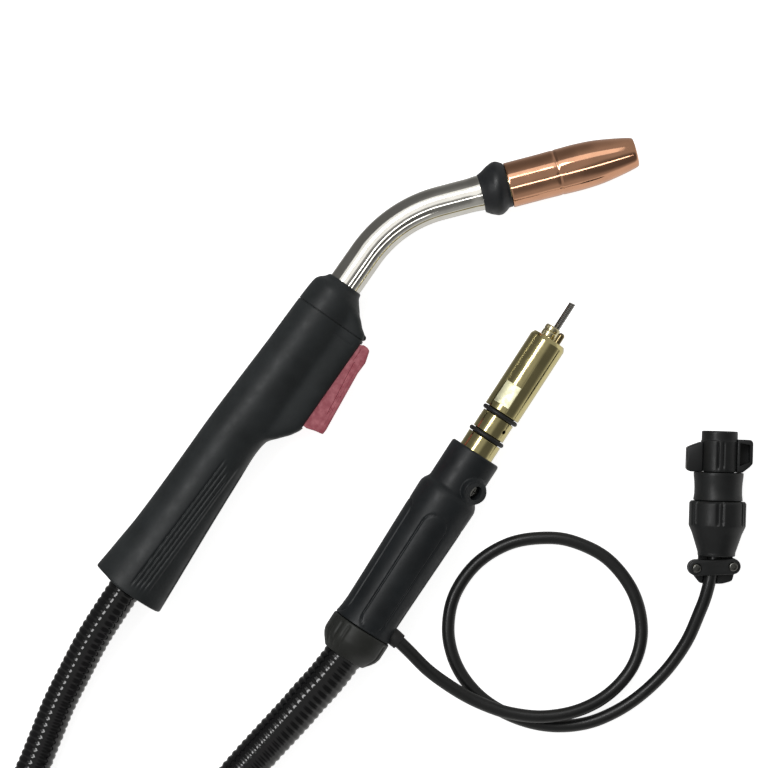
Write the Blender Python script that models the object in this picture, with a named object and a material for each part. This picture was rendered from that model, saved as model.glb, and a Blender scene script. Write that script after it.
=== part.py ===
"""A gas-cooled MIG welding torch, lying on its side on a table.

It has a hand piece with a trigger, a bent neck with a slip-on gas nozzle, a
ribbed main cable wound into a coil, the power-pin end that plugs into a wire
feeder, and a control cord with a round four-way plug.

Every number is in millimetres and every angle in degrees. Meshes are made in
metres. The origin is on the table, under the middle of the torch and its
power-pin end, and +Z points up. Each rigid assembly is drawn along the X axis
of an empty, which is then laid on the table at a heading from +X.
"""

import math

import bmesh
import bpy
from mathutils import Matrix, Vector

MM = 0.001
GAP = 0.3  # between touching pieces
HALF_GAP = GAP / 2

# Where the assemblies lie: the point on the table plane, the height, the heading.
TORCH_AT, TORCH_HEADING = (-10.8, 61.5, 17.0), 55.0
PIN_END_AT, PIN_END_HEADING = (54.6, -24.1, 16.2), 57.0
PLUG_AT, PLUG_HEADING = (175.7, -89.2, 14.6), 88.3

# Hand piece: u runs forwards along the neck, v towards the hand piece's back.
HANDLE_REAR, CAP_REAR, CAP_FRONT = -190.5, -19.4, -0.8
WALL = 2.4
ROUND_BODY_BOTTOM = -14.0  # the trigger housing hangs below this
KEEL_REAR, KEEL_HALF_WIDTH = -90.0, 10.2
BACK_EDGE = ((-190.5, 21.5), (-171, 19.9), (-157, 18.8), (-126, 18.0), (-98, 17.8),
             (-73, 17.0), (-44, 15.9), (-20, 15.3), (-12, 14.9), (-7.5, 14.4), (-5, 13.0),
             (-3, 10.8), (-0.8, 9.4))
BELLY_EDGE = ((-190.5, -18.0), (-171, -16.7), (-157, -15.7), (-136, -14.3), (-112, -12.9),
              (-98, -12.1), (-90, -12.6), (-84, -17.0), (-78, -21.8), (-72.5, -24.1),
              (-21.7, -24.1), (-17.4, -23.5), (-14, -19.5), (-9.1, -14.9), (-5, -11.3),
              (-3, -9.9), (-0.8, -9.4))
HALF_WIDTHS = ((-190.5, 16.8), (-157, 15.4), (-126, 14.6), (-100, 14.4), (-73, 14.6),
               (-20, 14.6), (-8, 13.2), (-5, 12.0), (-3, 10.5), (-0.8, 9.4))

# Neck: straight out of the hand piece, one bend, straight into the nozzle.
NECK_STRAIGHT, NECK_BEND_RADIUS, NECK_BEND, NECK_END = 17.2, 66.0, 40.3, 22.1
JACKET_RADIUS = 8.6

# Trigger: it turns about a pin near its front end.
TRIGGER_PIVOT = (-24.5, -17.0)
TRIGGER_HALF_WIDTH = 6.8
PIVOT_PIN_RADIUS = 1.25
SWITCH_U = -40.0
PLUNGER_TIP_V = -17.3
PLUNGER_RADIUS = 1.3

# Nozzle end, along the nozzle's axis from the end of the neck.
NOZZLE_BACK, NOZZLE_MOUTH = 13.7, 80.0
TIP_END = NOZZLE_MOUTH - 6.5
NOZZLE_BORE = 10.35

# Power-pin end, along its axis from the front rim of its housing.
PIN_RADIUS = 9.7
PIN_SHOULDER = 68.2
O_RING_AT = {"o_ring_front": 22.4, "o_ring_rear": 9.7}
COLLAR_FRONT, COLLAR_REAR, COLLAR_RADIUS = -105.5, -122.6, 16.2
BOSS_AT, BOSS_TILT = -17.3, -45.0  # where the locking screw sits, turned from straight up
GAS_PORT_AT, GAS_PORT_TILT = 16.0, -45.0
CORD_EXIT_AT, CORD_EXIT_TILT = -98.6, 8.0

# Control plug, along its axis from the clamp's outer edge.
PLUG_MOUTH = 75.8
INSERT_FACE = 65.0
CONTACT_RING_RADIUS = 3.1
WING_RADIUS = 16.6
CLAMP_AT, CLAMP_TILT = (7.2, 1.1), 4.0
EAR_SPACING, EAR_RADIUS = 9.2, 4.0
CORD_WAY_AT, CORD_WAY_TILT = (11.5, 1.0), 10.0

# Main cable. Its coil is wound two turns wide, three turns high.
CABLE_RADIUS = 8.5
CABLE_STEP = 12.0  # between the points of its centre line
CABLE_PITCH = 17.1
COIL_AT, COIL_INNER_TURN = (-165.7, -328.3), 76.5
COIL_HEIGHT = 2 * CABLE_PITCH + 2 * CABLE_RADIUS
GUARD_POINTS = 11  # of the cable's points, from its end in the collar
TIE_HEADINGS = (200.0, 320.0)
TORCH_STRAND = ((-116.5, -84.2, 17.0), (-122.2, -92.4, 17.0), (-130.5, -104.7, 16.2),
                (-139.2, -118.4, 13.7), (-148.4, -135.5, 10.6), (-156.7, -151.9, 9.0),
                (-163.8, -169.2, 8.5), (-170.7, -185.8, 8.5), (-179.7, -202.8, 8.5))
PIN_END_STRAND = ((-84.5, -211.4, 24.5), (-74.2, -197.8, 17.4), (-62.2, -183.8, 13.4),
                  (-50.8, -171.3, 11.9), (-42.9, -162.8, 12.0), (-35.8, -155.0, 12.8),
                  (-29.8, -148.0, 13.9), (-21.4, -138.6, 15.5), (-13.3, -128.2, 16.2),
                  (-8.3, -121.0, 16.2), (-3.4, -113.4, 16.2))

# Control cord, from the grommet, once round, and up to the plug.
CORD_RADIUS = 3.25
CORD_ROUTE = ((6.9, -112.0, 16.2), (11.5, -116.0, 16.2), (16.0, -119.9, 16.2),
              (21.2, -125.0, 15.3), (31.4, -135.2, 13.0), (45.7, -145.3, 11.2), (58.3, -151.8, 10.2),
              (72.0, -156.4, 9.8), (89.3, -158.2, 9.6), (107.6, -154.9, 8.2),
              (123.4, -146.3, 5.3), (135.1, -132.4, 3.4), (139.3, -114.8, 3.25),
              (134.9, -95.5, 3.25), (122.3, -79.0, 3.25), (105.4, -70.1, 3.25),
              (90.1, -67.9, 3.25), (72.0, -70.8, 3.25), (55.4, -80.9, 3.25),
              (44.2, -96.7, 3.25), (40.8, -113.8, 3.25), (43.6, -129.2, 3.25),
              (51.0, -142.2, 3.25), (62.0, -152.5, 3.25), (77.4, -160.2, 3.25),
              (93.7, -163.6, 3.25), (110.2, -162.4, 3.25), (124.6, -157.0, 3.6),
              (138.3, -148.0, 4.6), (151.4, -135.1, 6.4), (161.5, -120.2, 9.3),
              (168.0, -104.7, 12.5), (170.5, -97.9, 13.7), (172.3, -91.1, 14.5),
              (173.1, -87.1, 14.6), (173.9, -83.1, 14.6), (174.7, -79.2, 14.6),
              (175.4, -76.2, 14.6))


# ---------------------------------------------------------------- tools

def look(name, color, roughness, metallic=0.0):
    """A Principled material."""
    material = bpy.data.materials.new(name)
    material.use_nodes = True
    shader = material.node_tree.nodes["Principled BSDF"]
    shader.inputs["Base Color"].default_value = (*color, 1)
    shader.inputs["Roughness"].default_value = roughness
    shader.inputs["Metallic"].default_value = metallic
    return material


def lay(name, at, heading):
    """An empty at a point, turned about +Z to a heading."""
    empty = bpy.data.objects.new(name, None)
    empty.location = Vector(at) * MM
    empty.rotation_euler.z = math.radians(heading)
    bpy.context.scene.collection.objects.link(empty)
    return empty


def add_object(name, data, parent, at=(0, 0, 0), turn=(0, 0, 0)):
    obj = bpy.data.objects.new(name, data)
    obj.parent = parent
    obj.location = Vector(at) * MM
    obj.rotation_euler = [math.radians(angle) for angle in turn]
    bpy.context.scene.collection.objects.link(obj)
    return obj


def solid(name, points, faces, material, parent, at=(0, 0, 0), turn=(0, 0, 0)):
    """A mesh object from points in millimetres, its faces turned outwards."""
    work = bmesh.new()
    corners = [work.verts.new(Vector(point) * MM) for point in points]
    for face in faces:
        work.faces.new([corners[index] for index in face])
    bmesh.ops.triangulate(work, faces=work.faces)
    bmesh.ops.recalc_face_normals(work, faces=work.faces)
    mesh = bpy.data.meshes.new(name)
    work.to_mesh(mesh)
    work.free()
    mesh.shade_smooth()
    mesh.set_sharp_from_angle(angle=math.radians(35))
    if material:
        mesh.materials.append(material)
    return add_object(name, mesh, parent, at, turn)


def loft(name, rings, material, parent):
    """Joins rings of equal length into one closed solid with flat ends."""
    count = len(rings[0])
    points = [point for ring in rings for point in ring]
    faces = [list(range(count)), list(range(len(points) - count, len(points)))]
    for start in range(0, len(points) - count, count):
        for index in range(count):
            after = (index + 1) % count
            faces.append((start + index, start + after, start + count + after, start + count + index))
    return solid(name, points, faces, material, parent)


def turned(name, outline, material, parent, steps=20, at=(0, 0, 0), turn=(0, 0, 0), span=(0, 360)):
    """Turns a closed outline of (along, radius) points about the X axis, through a span of angles."""
    start, end = span
    whole = end - start == 360
    stops = [math.radians(start + (end - start) * k / steps)
             for k in range(steps if whole else steps + 1)]
    points = []
    rings = []
    for along, radius in outline:
        first = len(points)
        if radius == 0:
            points.append((along, 0, 0))
            rings.append([first] * len(stops))
            continue
        points += [(along, radius * math.cos(stop), radius * math.sin(stop)) for stop in stops]
        rings.append(list(range(first, len(points))))
    faces = []
    for one, other in zip(rings, rings[1:] + rings[:1]):
        for k in range(steps):
            after = (k + 1) % len(stops)
            corners = dict.fromkeys((one[k], one[after], other[after], other[k]))
            if len(corners) > 2:
                faces.append(list(corners))
    if not whole:
        faces += [[ring[end] for ring in rings] for end in (0, -1)]
    return solid(name, points, faces, material, parent, at, turn)


def swept(name, path, outer, inner, material, parent=None, sides=12):
    """A tube along a path of points."""
    path = [Vector(point) for point in path]
    points = []
    for radius in (outer, inner):
        for index, middle in enumerate(path):
            along = path[min(index + 1, len(path) - 1)] - path[max(index - 1, 0)]
            across = along.cross((0, 0, 1)).normalized()
            upward = across.cross(along).normalized()
            for k in range(sides):
                angle = math.tau * (k + 0.5) / sides
                points.append(middle + radius * (math.cos(angle) * across + math.sin(angle) * upward))
    length = len(path) * sides
    faces = []
    for k in range(sides):
        after = (k + 1) % sides
        for start in range(0, length - sides, sides):
            for skin in (0, length):
                one, other = skin + start + k, skin + start + after
                faces.append((one, other, other + sides, one + sides))
        for end in (0, length - sides):
            faces.append((end + k, end + after, length + end + after, length + end + k))
    return solid(name, points, faces, material, parent)


def plate(name, outline, low, high, material, parent, at=(0, 0, 0)):
    """An outline of (x, y) points extruded from z = low to z = high."""
    rings = [[(x, y, z) for x, y in outline] for z in (low, high)]
    obj = loft(name, rings, material, parent)
    obj.location = Vector(at) * MM
    return obj


def box(name, low, high, material, parent):
    outline = ((low[0], low[1]), (high[0], low[1]), (high[0], high[1]), (low[0], high[1]))
    return plate(name, outline, low[2], high[2], material, parent)


def rod(name, start, end, radius, parent, turn=(0, 0, 0), at=(0, 0, 0), steps=12, material=None):
    """A cylinder along X, from start to end, before it is turned and moved."""
    outline = ((start, 0), (start, radius), (end, radius), (end, 0))
    return turned(name, outline, material, parent, steps, at, turn)


def tool(obj):
    """Keeps a shape out of the model: it only cuts or joins."""
    obj.hide_render = True
    obj.display_type = "WIRE"
    return obj


def combine(obj, other, operation):
    modifier = obj.modifiers.new(f"{operation.lower()} {other.name}", "BOOLEAN")
    modifier.operation = operation
    modifier.object = tool(other)
    modifier.solver = "EXACT"


def cut(obj, *cutters):
    for cutter in cutters:
        combine(obj, cutter, "DIFFERENCE")


def fuse(obj, *others):
    for other in others:
        combine(obj, other, "UNION")


def between(table, u):
    """Reads a table of (u, value) pairs at u, straight between its rows."""
    for (u0, value0), (u1, value1) in zip(table, table[1:]):
        if u <= u1:
            return value0 + (value1 - value0) * (max(u, u0) - u0) / (u1 - u0)
    return table[-1][1]


def smooth_route(route, spacing):
    """Evenly spaced points on a smooth curve through the route's own points."""
    knots = [Vector(point) for point in route]
    knots = [2 * knots[0] - knots[1], *knots, 2 * knots[-1] - knots[-2]]
    fine = []
    for before, start, end, after in zip(knots, knots[1:], knots[2:], knots[3:]):
        for step in range(10):
            t = step / 10
            fine.append(0.5 * (2 * start + (end - before) * t
                               + (2 * before - 5 * start + 4 * end - after) * t * t
                               + (3 * start - before - 3 * end + after) * t ** 3))
    fine.append(knots[-2])
    lengths = [0.0]
    for one, other in zip(fine, fine[1:]):
        lengths.append(lengths[-1] + (other - one).length)
    count = max(2, round(lengths[-1] / spacing))
    points = []
    for index in range(count + 1):
        wanted = lengths[-1] * index / count
        place = max(k for k in range(len(fine) - 1) if lengths[k] <= wanted)
        share = (wanted - lengths[place]) / (lengths[place + 1] - lengths[place])
        points.append(fine[place].lerp(fine[place + 1], share))
    return points


def round_bar(name, points, radius, material, parent=None, detail=2):
    """A curve with a round bevel through points, with closed ends."""
    curve = bpy.data.curves.new(name, "CURVE")
    curve.dimensions = "3D"
    curve.bevel_depth = radius * MM
    curve.bevel_resolution = detail
    curve.use_fill_caps = True
    spline = curve.splines.new("POLY")
    spline.points.add(len(points) - 1)
    for knot, point in zip(spline.points, points):
        knot.co = (*(Vector(point) * MM), 1)
    curve.materials.append(material)
    return add_object(name, curve, parent)


# ---------------------------------------------------------------- hand piece

def hand_section(u, inset, angle):
    """The point (v, z) of the hand piece's outline at u, an angle round from its back.

    The outline is an oval with, above the trigger, a narrower housing below it.
    """
    back, belly = between(BACK_EDGE, u) - inset, between(BELLY_EDGE, u) + inset
    width = between(HALF_WIDTHS, u) - inset
    has_keel = u > KEEL_REAR and belly < ROUND_BODY_BOTTOM + inset
    round_bottom = ROUND_BODY_BOTTOM + inset if has_keel else belly
    middle, height = (back + round_bottom) / 2, (back - round_bottom) / 2
    down, side = -math.cos(angle), math.sin(angle)
    reach = 1 / math.hypot(down / height, side / width)
    if has_keel and down > 0:
        keel_depth, keel_side = middle - belly, KEEL_HALF_WIDTH - inset
        keel = ((down / keel_depth) ** 6 + (side / keel_side) ** 6) ** (-1 / 6)
        reach = (reach ** 16 + keel ** 16) ** (1 / 16)
    return middle - down * reach, side * reach


def hand_loft(name, stations, inset, half, material, parent):
    """A solid through hand-piece sections: the upper half, the lower half or both."""
    count = 10
    angles = [math.pi * k / count for k in range(count + 1)]
    rings = []
    for u in stations:
        if half:
            ring = [(u, *hand_section(u, inset, angle)) for angle in angles]
            ring = [(u, v, half * max(z, HALF_GAP)) for u, v, z in ring]
        else:
            right = [(u, *hand_section(u, inset, angle)) for angle in angles]
            ring = right + [(u, v, -z) for u, v, z in right[-2:0:-1]]
        rings.append(ring)
    return loft(name, rings, material, parent)


SHELL_STATIONS = (HANDLE_REAR, -171, -157, -126, -98, -90, -84, -78, -72.5, -44, CAP_REAR - GAP)
SCREW_POSTS = ((-66, 10), (-77, -12), (-120, 11), (-160, -9.2))
POST_RADIUS = 3.4


def make_handle_shells(parent, plastic):
    """Two half shells with a rear wall, screw posts and a rib that holds the switch."""
    cavity = hand_loft("cavity", (-187, -171, -157, -126, -98, -90, -84, -78, -72.5, -44, -19),
                       WALL, 0, None, parent)
    for number, (u, v) in enumerate(SCREW_POSTS, 1):
        cut(cavity, rod(f"post_{number}", -25, 25, POST_RADIUS, parent, (0, 90, 0), (u, v, 0), 12))
    for side in (-1, 1):
        rib = sorted((side * 3.6, side * 25))
        cut(cavity, box(f"rib_{side}", (-42, -15.4, rib[0]), (-38, -8.9, rib[1]), None, parent))
    slot = box("trigger_slot", (-72.9, -30, -7.2), (-21.3, -13.5, 7.2), None, parent)
    rear_bore = rod("rear_bore", -200, -180, 11.3, parent, at=(0, 3, 0), steps=20)
    pin_socket = rod("pin_socket", -8.9, 8.9, PIVOT_PIN_RADIUS + 0.1, parent, (0, 90, 0),
                     (*TRIGGER_PIVOT, 0))
    shells = []
    for name, half in (("handle_shell_upper", 1), ("handle_shell_lower", -1)):
        shell = hand_loft(name, SHELL_STATIONS, 0, half, plastic, parent)
        cut(shell, pin_socket, cavity, slot, rear_bore)
        shells.append(shell)
    for number, (u, v) in enumerate(SCREW_POSTS, 1):
        hole = rod(f"screw_hole_{number}", -25, 6.4, 1.4, parent, (0, -90, 0), (u, v, 0), 8)
        recess = rod(f"screw_recess_{number}", -25, -7.0, 2.7, parent, (0, -90, 0), (u, v, 0), 12)
        cut(shells[0], hole)
        cut(shells[1], hole, recess)


def make_handle_screws(parent, steel):
    outline = ((-9.3, 0), (-9.3, 2.1), (-8.9, 2.4), (-7.3, 2.4), (-7.3, 1.2), (6, 1.2), (6, 0))
    for number, (u, v) in enumerate(SCREW_POSTS, 1):
        turned(f"handle_screw_{number}", outline, steel, parent, 10, (u, v, 0), (0, -90, 0))


def make_front_cap(parent, plastic):
    """The tapering nose that closes the shells round the neck."""
    cap = hand_loft("handle_front_cap", (CAP_REAR, -17.4, -14, -9.1, -7.5, -5, -3, CAP_FRONT),
                    0, 0, plastic, parent)
    hollow = hand_loft("cap_hollow", (-25, -16.5, -10, -6), 2.2, 0, None, parent)
    cut(cap, hollow, rod("cap_bore", -10, 5, JACKET_RADIUS + GAP, parent, steps=20))


def make_trigger(parent, red):
    """The trigger, its pivot boss, the lug that works the switch and a notch for the spring."""
    pivot_u, pivot_v = TRIGGER_PIVOT
    boss = [(pivot_u + 2.9 * math.cos(a), pivot_v + 2.9 * math.sin(a))
            for a in (math.radians(angle) for angle in range(180, -1, -30))]
    outline = [(-21.7, -24.2), (-20.8, -25.2), (-20.8, -27.8), (-21.6, -29.3), (-24.0, -30.0),
               (-27.8, -31.1), (-34.3, -30.9), (-57.1, -33.2), (-66.7, -34.2), (-69.4, -34.1),
               (-70.2, -30.0), (-71.6, -25.6), (-71.2, -20.9), (-41.6, -20.9), (-41.6, -17.6),
               (-38.4, -17.6), (-38.4, -20.9), (-28.2, -20.9), *boss]
    moved = [(u - pivot_u, v - pivot_v) for u, v in outline]
    trigger = plate("trigger", moved, -TRIGGER_HALF_WIDTH, TRIGGER_HALF_WIDTH, red, parent,
                    (pivot_u, pivot_v, 0))
    cut(trigger,
        rod("pin_bore", -20, 20, PIVOT_PIN_RADIUS + 0.2, parent, (0, 90, 0), (*TRIGGER_PIVOT, 0)),
        box("spring_notch", (-28.3, -20.4, -2.7), (-20, -13, 2.7), None, parent))
    rod("trigger_pivot_pin", -8.6, 8.6, PIVOT_PIN_RADIUS, parent, (0, 90, 0),
        (*TRIGGER_PIVOT, 0), 10, red.copy())


def make_return_spring(parent, steel):
    """A torsion spring round the pivot pin, with one leg along the trigger."""
    coil_radius, turns, pitch, per_turn = 2.1, 4, 0.9, 8
    count = turns * per_turn
    points = [(-9.5, -3.0, -turns * pitch / 2)]
    for k in range(count + 1):
        angle = math.radians(-90) - math.tau * k / per_turn
        points.append((coil_radius * math.cos(angle), coil_radius * math.sin(angle),
                       pitch * (k / per_turn - turns / 2)))
    points[-1] = (1.2, -2.1, turns * pitch / 2)
    points.append((3.6, -1.4, turns * pitch / 2))
    spring = round_bar("trigger_return_spring", points, 0.35, steel, parent, 0)
    spring.location = Vector((*TRIGGER_PIVOT, 0)) * MM


def make_switch(parent, plastic, white, wire):
    """The micro-switch over the trigger, its plunger and its two leads."""
    body = box("trigger_switch_body", (SWITCH_U - 9, -15.4, -3.3), (SWITCH_U + 7.6, -8.9, 3.3),
               plastic, parent)
    cut(body, rod("plunger_hole", -20, -11.2, PLUNGER_RADIUS + 0.3, parent, (0, 0, 90),
                  (SWITCH_U, 0, 0)))
    outline = ((0, 0), (0, 0.9), (0.4, PLUNGER_RADIUS), (3.9, PLUNGER_RADIUS), (3.9, 0))
    turned("switch_plunger", outline, white, parent, 10, (SWITCH_U, PLUNGER_TIP_V, 0), (0, 0, 90))
    for number, z in ((1, -1.8), (2, 1.8)):
        route = ((-49.4, -12, z), (-60, -9.5, z), (-72, -7.2, z), (-83, -7.2, z),
                 (-120, -6.4, 1.6 * z), (-160, -4.6, 2.5 * z), (-176, -4.6, 2.5 * z))
        round_bar(f"switch_lead_{number}", smooth_route(route, 10), 0.8, wire, parent, 0)


def make_handle_insides(parent, brass, rubber):
    """What the neck and the cable end in, inside the shells."""
    block = ((-60, 3.3), (-60, 8), (-34, 8), (-34, 5.7), (-57.3, 5.7), (-57.3, 3.3))
    turned("neck_connector_block", block, brass, parent)
    nut = ((-32, 8.9), (-32, 11), (-31, 11.5), (-26.5, 11.5), (-25.5, 11), (-25.5, 8.9))
    turned("neck_clamp_nut", nut, brass, parent)
    path = ((-60.4, 0, 0), (-90, 0.3, 0), (-120, 1.1, 0), (-150, 2.1, 0), (-170, 2.9, 0), (-173, 3, 0))
    swept("power_cable_in_handle", path, 6.0, 2.6, rubber, parent, 10)
    ferrule = ((-190.5, 8.9), (-190.5, 11), (-186.7, 11), (-186.7, 13), (-178, 13), (-178, 8.9))
    turned("handle_cable_ferrule", ferrule, rubber, parent, 20, (0, 3, 0))


# ---------------------------------------------------------------- neck and nozzle

def neck_path(back, beyond, bend_steps=6):
    """The neck's centre line from u = back to a distance past the neck's end."""
    points = [(back, 0, 0), (NECK_STRAIGHT, 0, 0)]
    for k in range(1, bend_steps + 1):
        angle = math.radians(NECK_BEND * k / bend_steps)
        points.append((NECK_STRAIGHT + NECK_BEND_RADIUS * math.sin(angle),
                       NECK_BEND_RADIUS * (math.cos(angle) - 1), 0))
    bend = math.radians(NECK_BEND)
    end_u, end_v, _ = points[-1]
    length = NECK_END + beyond
    points.append((end_u + length * math.cos(bend), end_v - length * math.sin(bend), 0))
    return points


def make_neck(parent, chrome, liner_plastic, copper, steel):
    swept("neck_jacket", neck_path(-33, 0), JACKET_RADIUS, 7.2, chrome, parent, 16)
    swept("neck_insulating_sleeve", neck_path(-33, 0), 6.9, 5.7, liner_plastic, parent)
    swept("neck_conductor_tube", neck_path(-57, 6), 5.4, 3.0, copper, parent)
    swept("torch_liner", neck_path(-58, 38), 1.9, 0.8, steel, parent, 8)


def make_nozzle_end(parent, copper, black, brass, steel):
    insulator = ((-0.6, 8.95), (-0.6, 9.7), (2.5, 11.6), (5, 12.8), (7, 13.6), (8.4, 13.6),
                 (11, 12.5), (13.4, 11.3), (13.4, 6.9), (0.3, 6.9), (0.3, 8.95))
    turned("nozzle_insulator", insulator, black, parent, 24)
    diffuser = ((6.3, 2.4), (6.3, 6.5), (36, 6.5), (50, 5.6), (50, 3.3), (40, 3.3), (40, 2.4))
    body = turned("gas_diffuser", diffuser, brass, parent)
    cut(body, *(rod(f"gas_way_{turn}", -9, 9, 1.0, parent, (0, turn, 90), (37.8, 0, 0), 8)
                for turn in (0, 90)))
    tip = ((42, 0.6), (42, 3), (50.3, 3), (50.3, 4), (72, 4), (TIP_END, 2.6), (TIP_END, 0.6))
    turned("contact_tip", tip, copper, parent, 14)
    holder = ((14, 6.8), (14, 10), (23.5, 10), (23.5, 9.1), (26.5, 9.1), (26.5, 10), (32, 10),
              (33, 9.4), (33, 6.8))
    turned("nozzle_holder", holder, black, parent)
    clip = [(25, 9.75 * math.cos(angle), 9.75 * math.sin(angle))
            for angle in (math.radians(20 + 20 * k) for k in range(17))]
    round_bar("nozzle_retaining_clip", clip, 0.3, steel, parent, 0)
    nozzle = ((NOZZLE_BACK, 11.1), (14.2, 11.5), (38.6, 11.6), (39.2, 11.35), (39.8, 11.65),
              (46, 11.75), (52, 11.7), (60, 11.2), (68, 10.0), (74, 8.85), (78, 7.9),
              (79.4, 7.5), (NOZZLE_MOUTH, 6.9), (NOZZLE_MOUTH, 6.3), (79, 6.3), (70, 7.7),
              (60, 9.3), (52, 10.2), (46, NOZZLE_BORE), (NOZZLE_BACK, NOZZLE_BORE))
    turned("gas_nozzle", nozzle, copper, parent, 24)


# ---------------------------------------------------------------- power-pin end

def make_power_pin(parent, brass, rubber, steel):
    """The brass plug that goes into the feeder, with its seals, guide and liner."""
    outline = ((-30, 3), (-30, 8.4), (-12, 8.4), (-12, 9.2), (8.2, 9.2), (8.2, 7.4), (11.2, 7.4),
               (11.2, 8.7), (20.9, 8.7), (20.9, 7.4), (23.9, 7.4), (23.9, PIN_RADIUS),
               (66.2, PIN_RADIUS), (PIN_SHOULDER, 8.6), (PIN_SHOULDER, 6.0), (67.7, 6.0), (67.7, 3.3),
               (49, 3.3), (49, 3))
    pin = turned("power_pin_body", outline, brass, parent, 24)
    for number, turn in ((1, -19), (2, 161)):
        flat = box(f"wrench_flat_{number}", (27.1, -9, 8.65), (39.2, 9, 15), None, parent)
        flat.rotation_euler.x = math.radians(turn)
        cut(pin, flat)
    port = rod("gas_port", 1, 12, 0.9, parent, at=(GAS_PORT_AT, 0, 0), steps=8)
    port.rotation_euler = radial_turn(GAS_PORT_TILT)
    cut(pin, port, rod("set_screw_hole", 61, 75, 2.0, parent, at=(0, -3.9, 4.4), steps=10))
    screw = ((61.5, 0), (61.5, 1.75), (72.8, 1.75), (73.8, 1), (73.8, 0))
    turned("liner_set_screw", screw, steel, parent, 10, (0, -3.9, 4.4))
    for name, along in O_RING_AT.items():
        ring = [(along + 1.15 * math.cos(angle), 8.85 + 1.15 * math.sin(angle))
                for angle in (math.tau * k / 8 for k in range(8))]
        turned(name, ring, rubber, parent, 20)
    nipple = rod("power_pin_nipple", 50, 70, 3, parent, material=brass)
    head = turned("nipple_head", ((68.6, 0), (68.6, 4), (73.9, 4), (74.5, 3.4), (74.5, 0)), None,
                  parent, 16, (0, 1.5, 0))
    fuse(nipple, head)
    cut(nipple, rod("nipple_bore", 45, 80, 2.1, parent))
    liner = ((-28, 0.8), (-28, 1.8), (89.3, 1.8), (89.3, 0.8))
    turned("machine_end_liner", liner, steel, parent, 8)
    terminal = ((-56, 6.3), (-56, 7.9), (-30.4, 7.9), (-30.4, 3), (-36, 3), (-36, 6.3))
    turned("power_cable_terminal", terminal, brass, parent)
    core = ((-104, 2.6), (-104, 6), (-36.4, 6), (-36.4, 2.6))
    turned("power_cable_in_housing", core, rubber, parent, 12)


def make_rear_housing(parent, plastic, steel):
    """Two half shells round the pin's rear, with a boss for the locking screw."""
    outline = ((0, 9.7), (0, 12.6), (-0.9, 13.6), (-21.8, 13.6), (-26.5, 16), (-40, 15.8),
               (-60, 15.4), (-96, 14.8), (-101, 15.1), (-105.2, 15.9), (-105.2, 10.9), (-103, 10.9),
               (-103, 11.6), (-28, 12.8), (-24, 10.3), (-3, 10.3), (-3, 9.7))
    cord_hole = rod("cord_hole", 5, 25, 4.6, parent, (0, 0, -90 - CORD_EXIT_TILT),
                    (CORD_EXIT_AT, 0, 0), 14)
    upper = turned("rear_housing_upper", outline, plastic, parent, 12, (0, 0, HALF_GAP),
                   span=(0, 180))
    lower = turned("rear_housing_lower", outline, plastic, parent, 12, (0, 0, -HALF_GAP),
                   span=(180, 360))
    boss = rod("screw_boss", 10.6, 15.2, 7.0, parent, at=(BOSS_AT, 0, 0), steps=16)
    recess = rod("screw_recess", 11, 20, 3.4, parent, at=(BOSS_AT, 0, 0))
    hole = rod("locking_screw_hole", 9, 20, 1.7, parent, at=(BOSS_AT, 0, 0), steps=8)
    screw = turned("housing_locking_screw", ((8.7, 0), (8.7, 1.4), (11.3, 1.4), (11.3, 3),
                                             (13.2, 3), (13.2, 0)),
                   steel, parent, 12, (BOSS_AT, 0, 0))
    for piece in (boss, recess, hole, screw):
        piece.rotation_euler = radial_turn(BOSS_TILT)
    fuse(upper, boss)
    cut(upper, recess, hole, cord_hole)
    cut(lower, cord_hole)


def radial_turn(tilt):
    """The rotation that points an X-axis piece straight up, then tilts it about X."""
    up = Matrix.Rotation(math.radians(-90), 3, "Y")
    return (Matrix.Rotation(math.radians(-tilt), 3, "X") @ up).to_euler()


def make_collar(parent, plastic, rubber):
    collar = ((COLLAR_FRONT, 10.6), (COLLAR_FRONT, COLLAR_RADIUS), (-114.5, COLLAR_RADIUS),
              (-117, 15.4), (-119, 14.1), (-121, 12.5), (COLLAR_REAR, 11.3), (COLLAR_REAR, 10.6))
    turned("rear_collar", collar, plastic, parent, 24)
    grommet = ((10, 3.7), (10, 4.35), (16.5, 4.35), (20, 4.2), (20, 3.7))
    turned("control_cord_grommet", grommet, rubber, parent, 12, (CORD_EXIT_AT, 0, 0),
           (0, 0, -90 - CORD_EXIT_TILT))


# ---------------------------------------------------------------- control plug

def ear(side):
    """The middle of the clamp's left (1) or right (-1) ear, at its screw."""
    tilt = math.radians(CLAMP_TILT)
    return (CLAMP_AT[0] - side * EAR_SPACING * math.sin(tilt),
            CLAMP_AT[1] + side * EAR_SPACING * math.cos(tilt))


def clamp_outline(steps=6):
    """A bar with round ends that lies a little askew across the plug."""
    points = []
    for side in (1, -1):
        x, y = ear(side)
        for k in range(steps + 1):
            angle = math.radians(CLAMP_TILT + 180 * k / steps)
            points.append((x + side * EAR_RADIUS * math.cos(angle),
                           y + side * EAR_RADIUS * math.sin(angle)))
    return points


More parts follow.
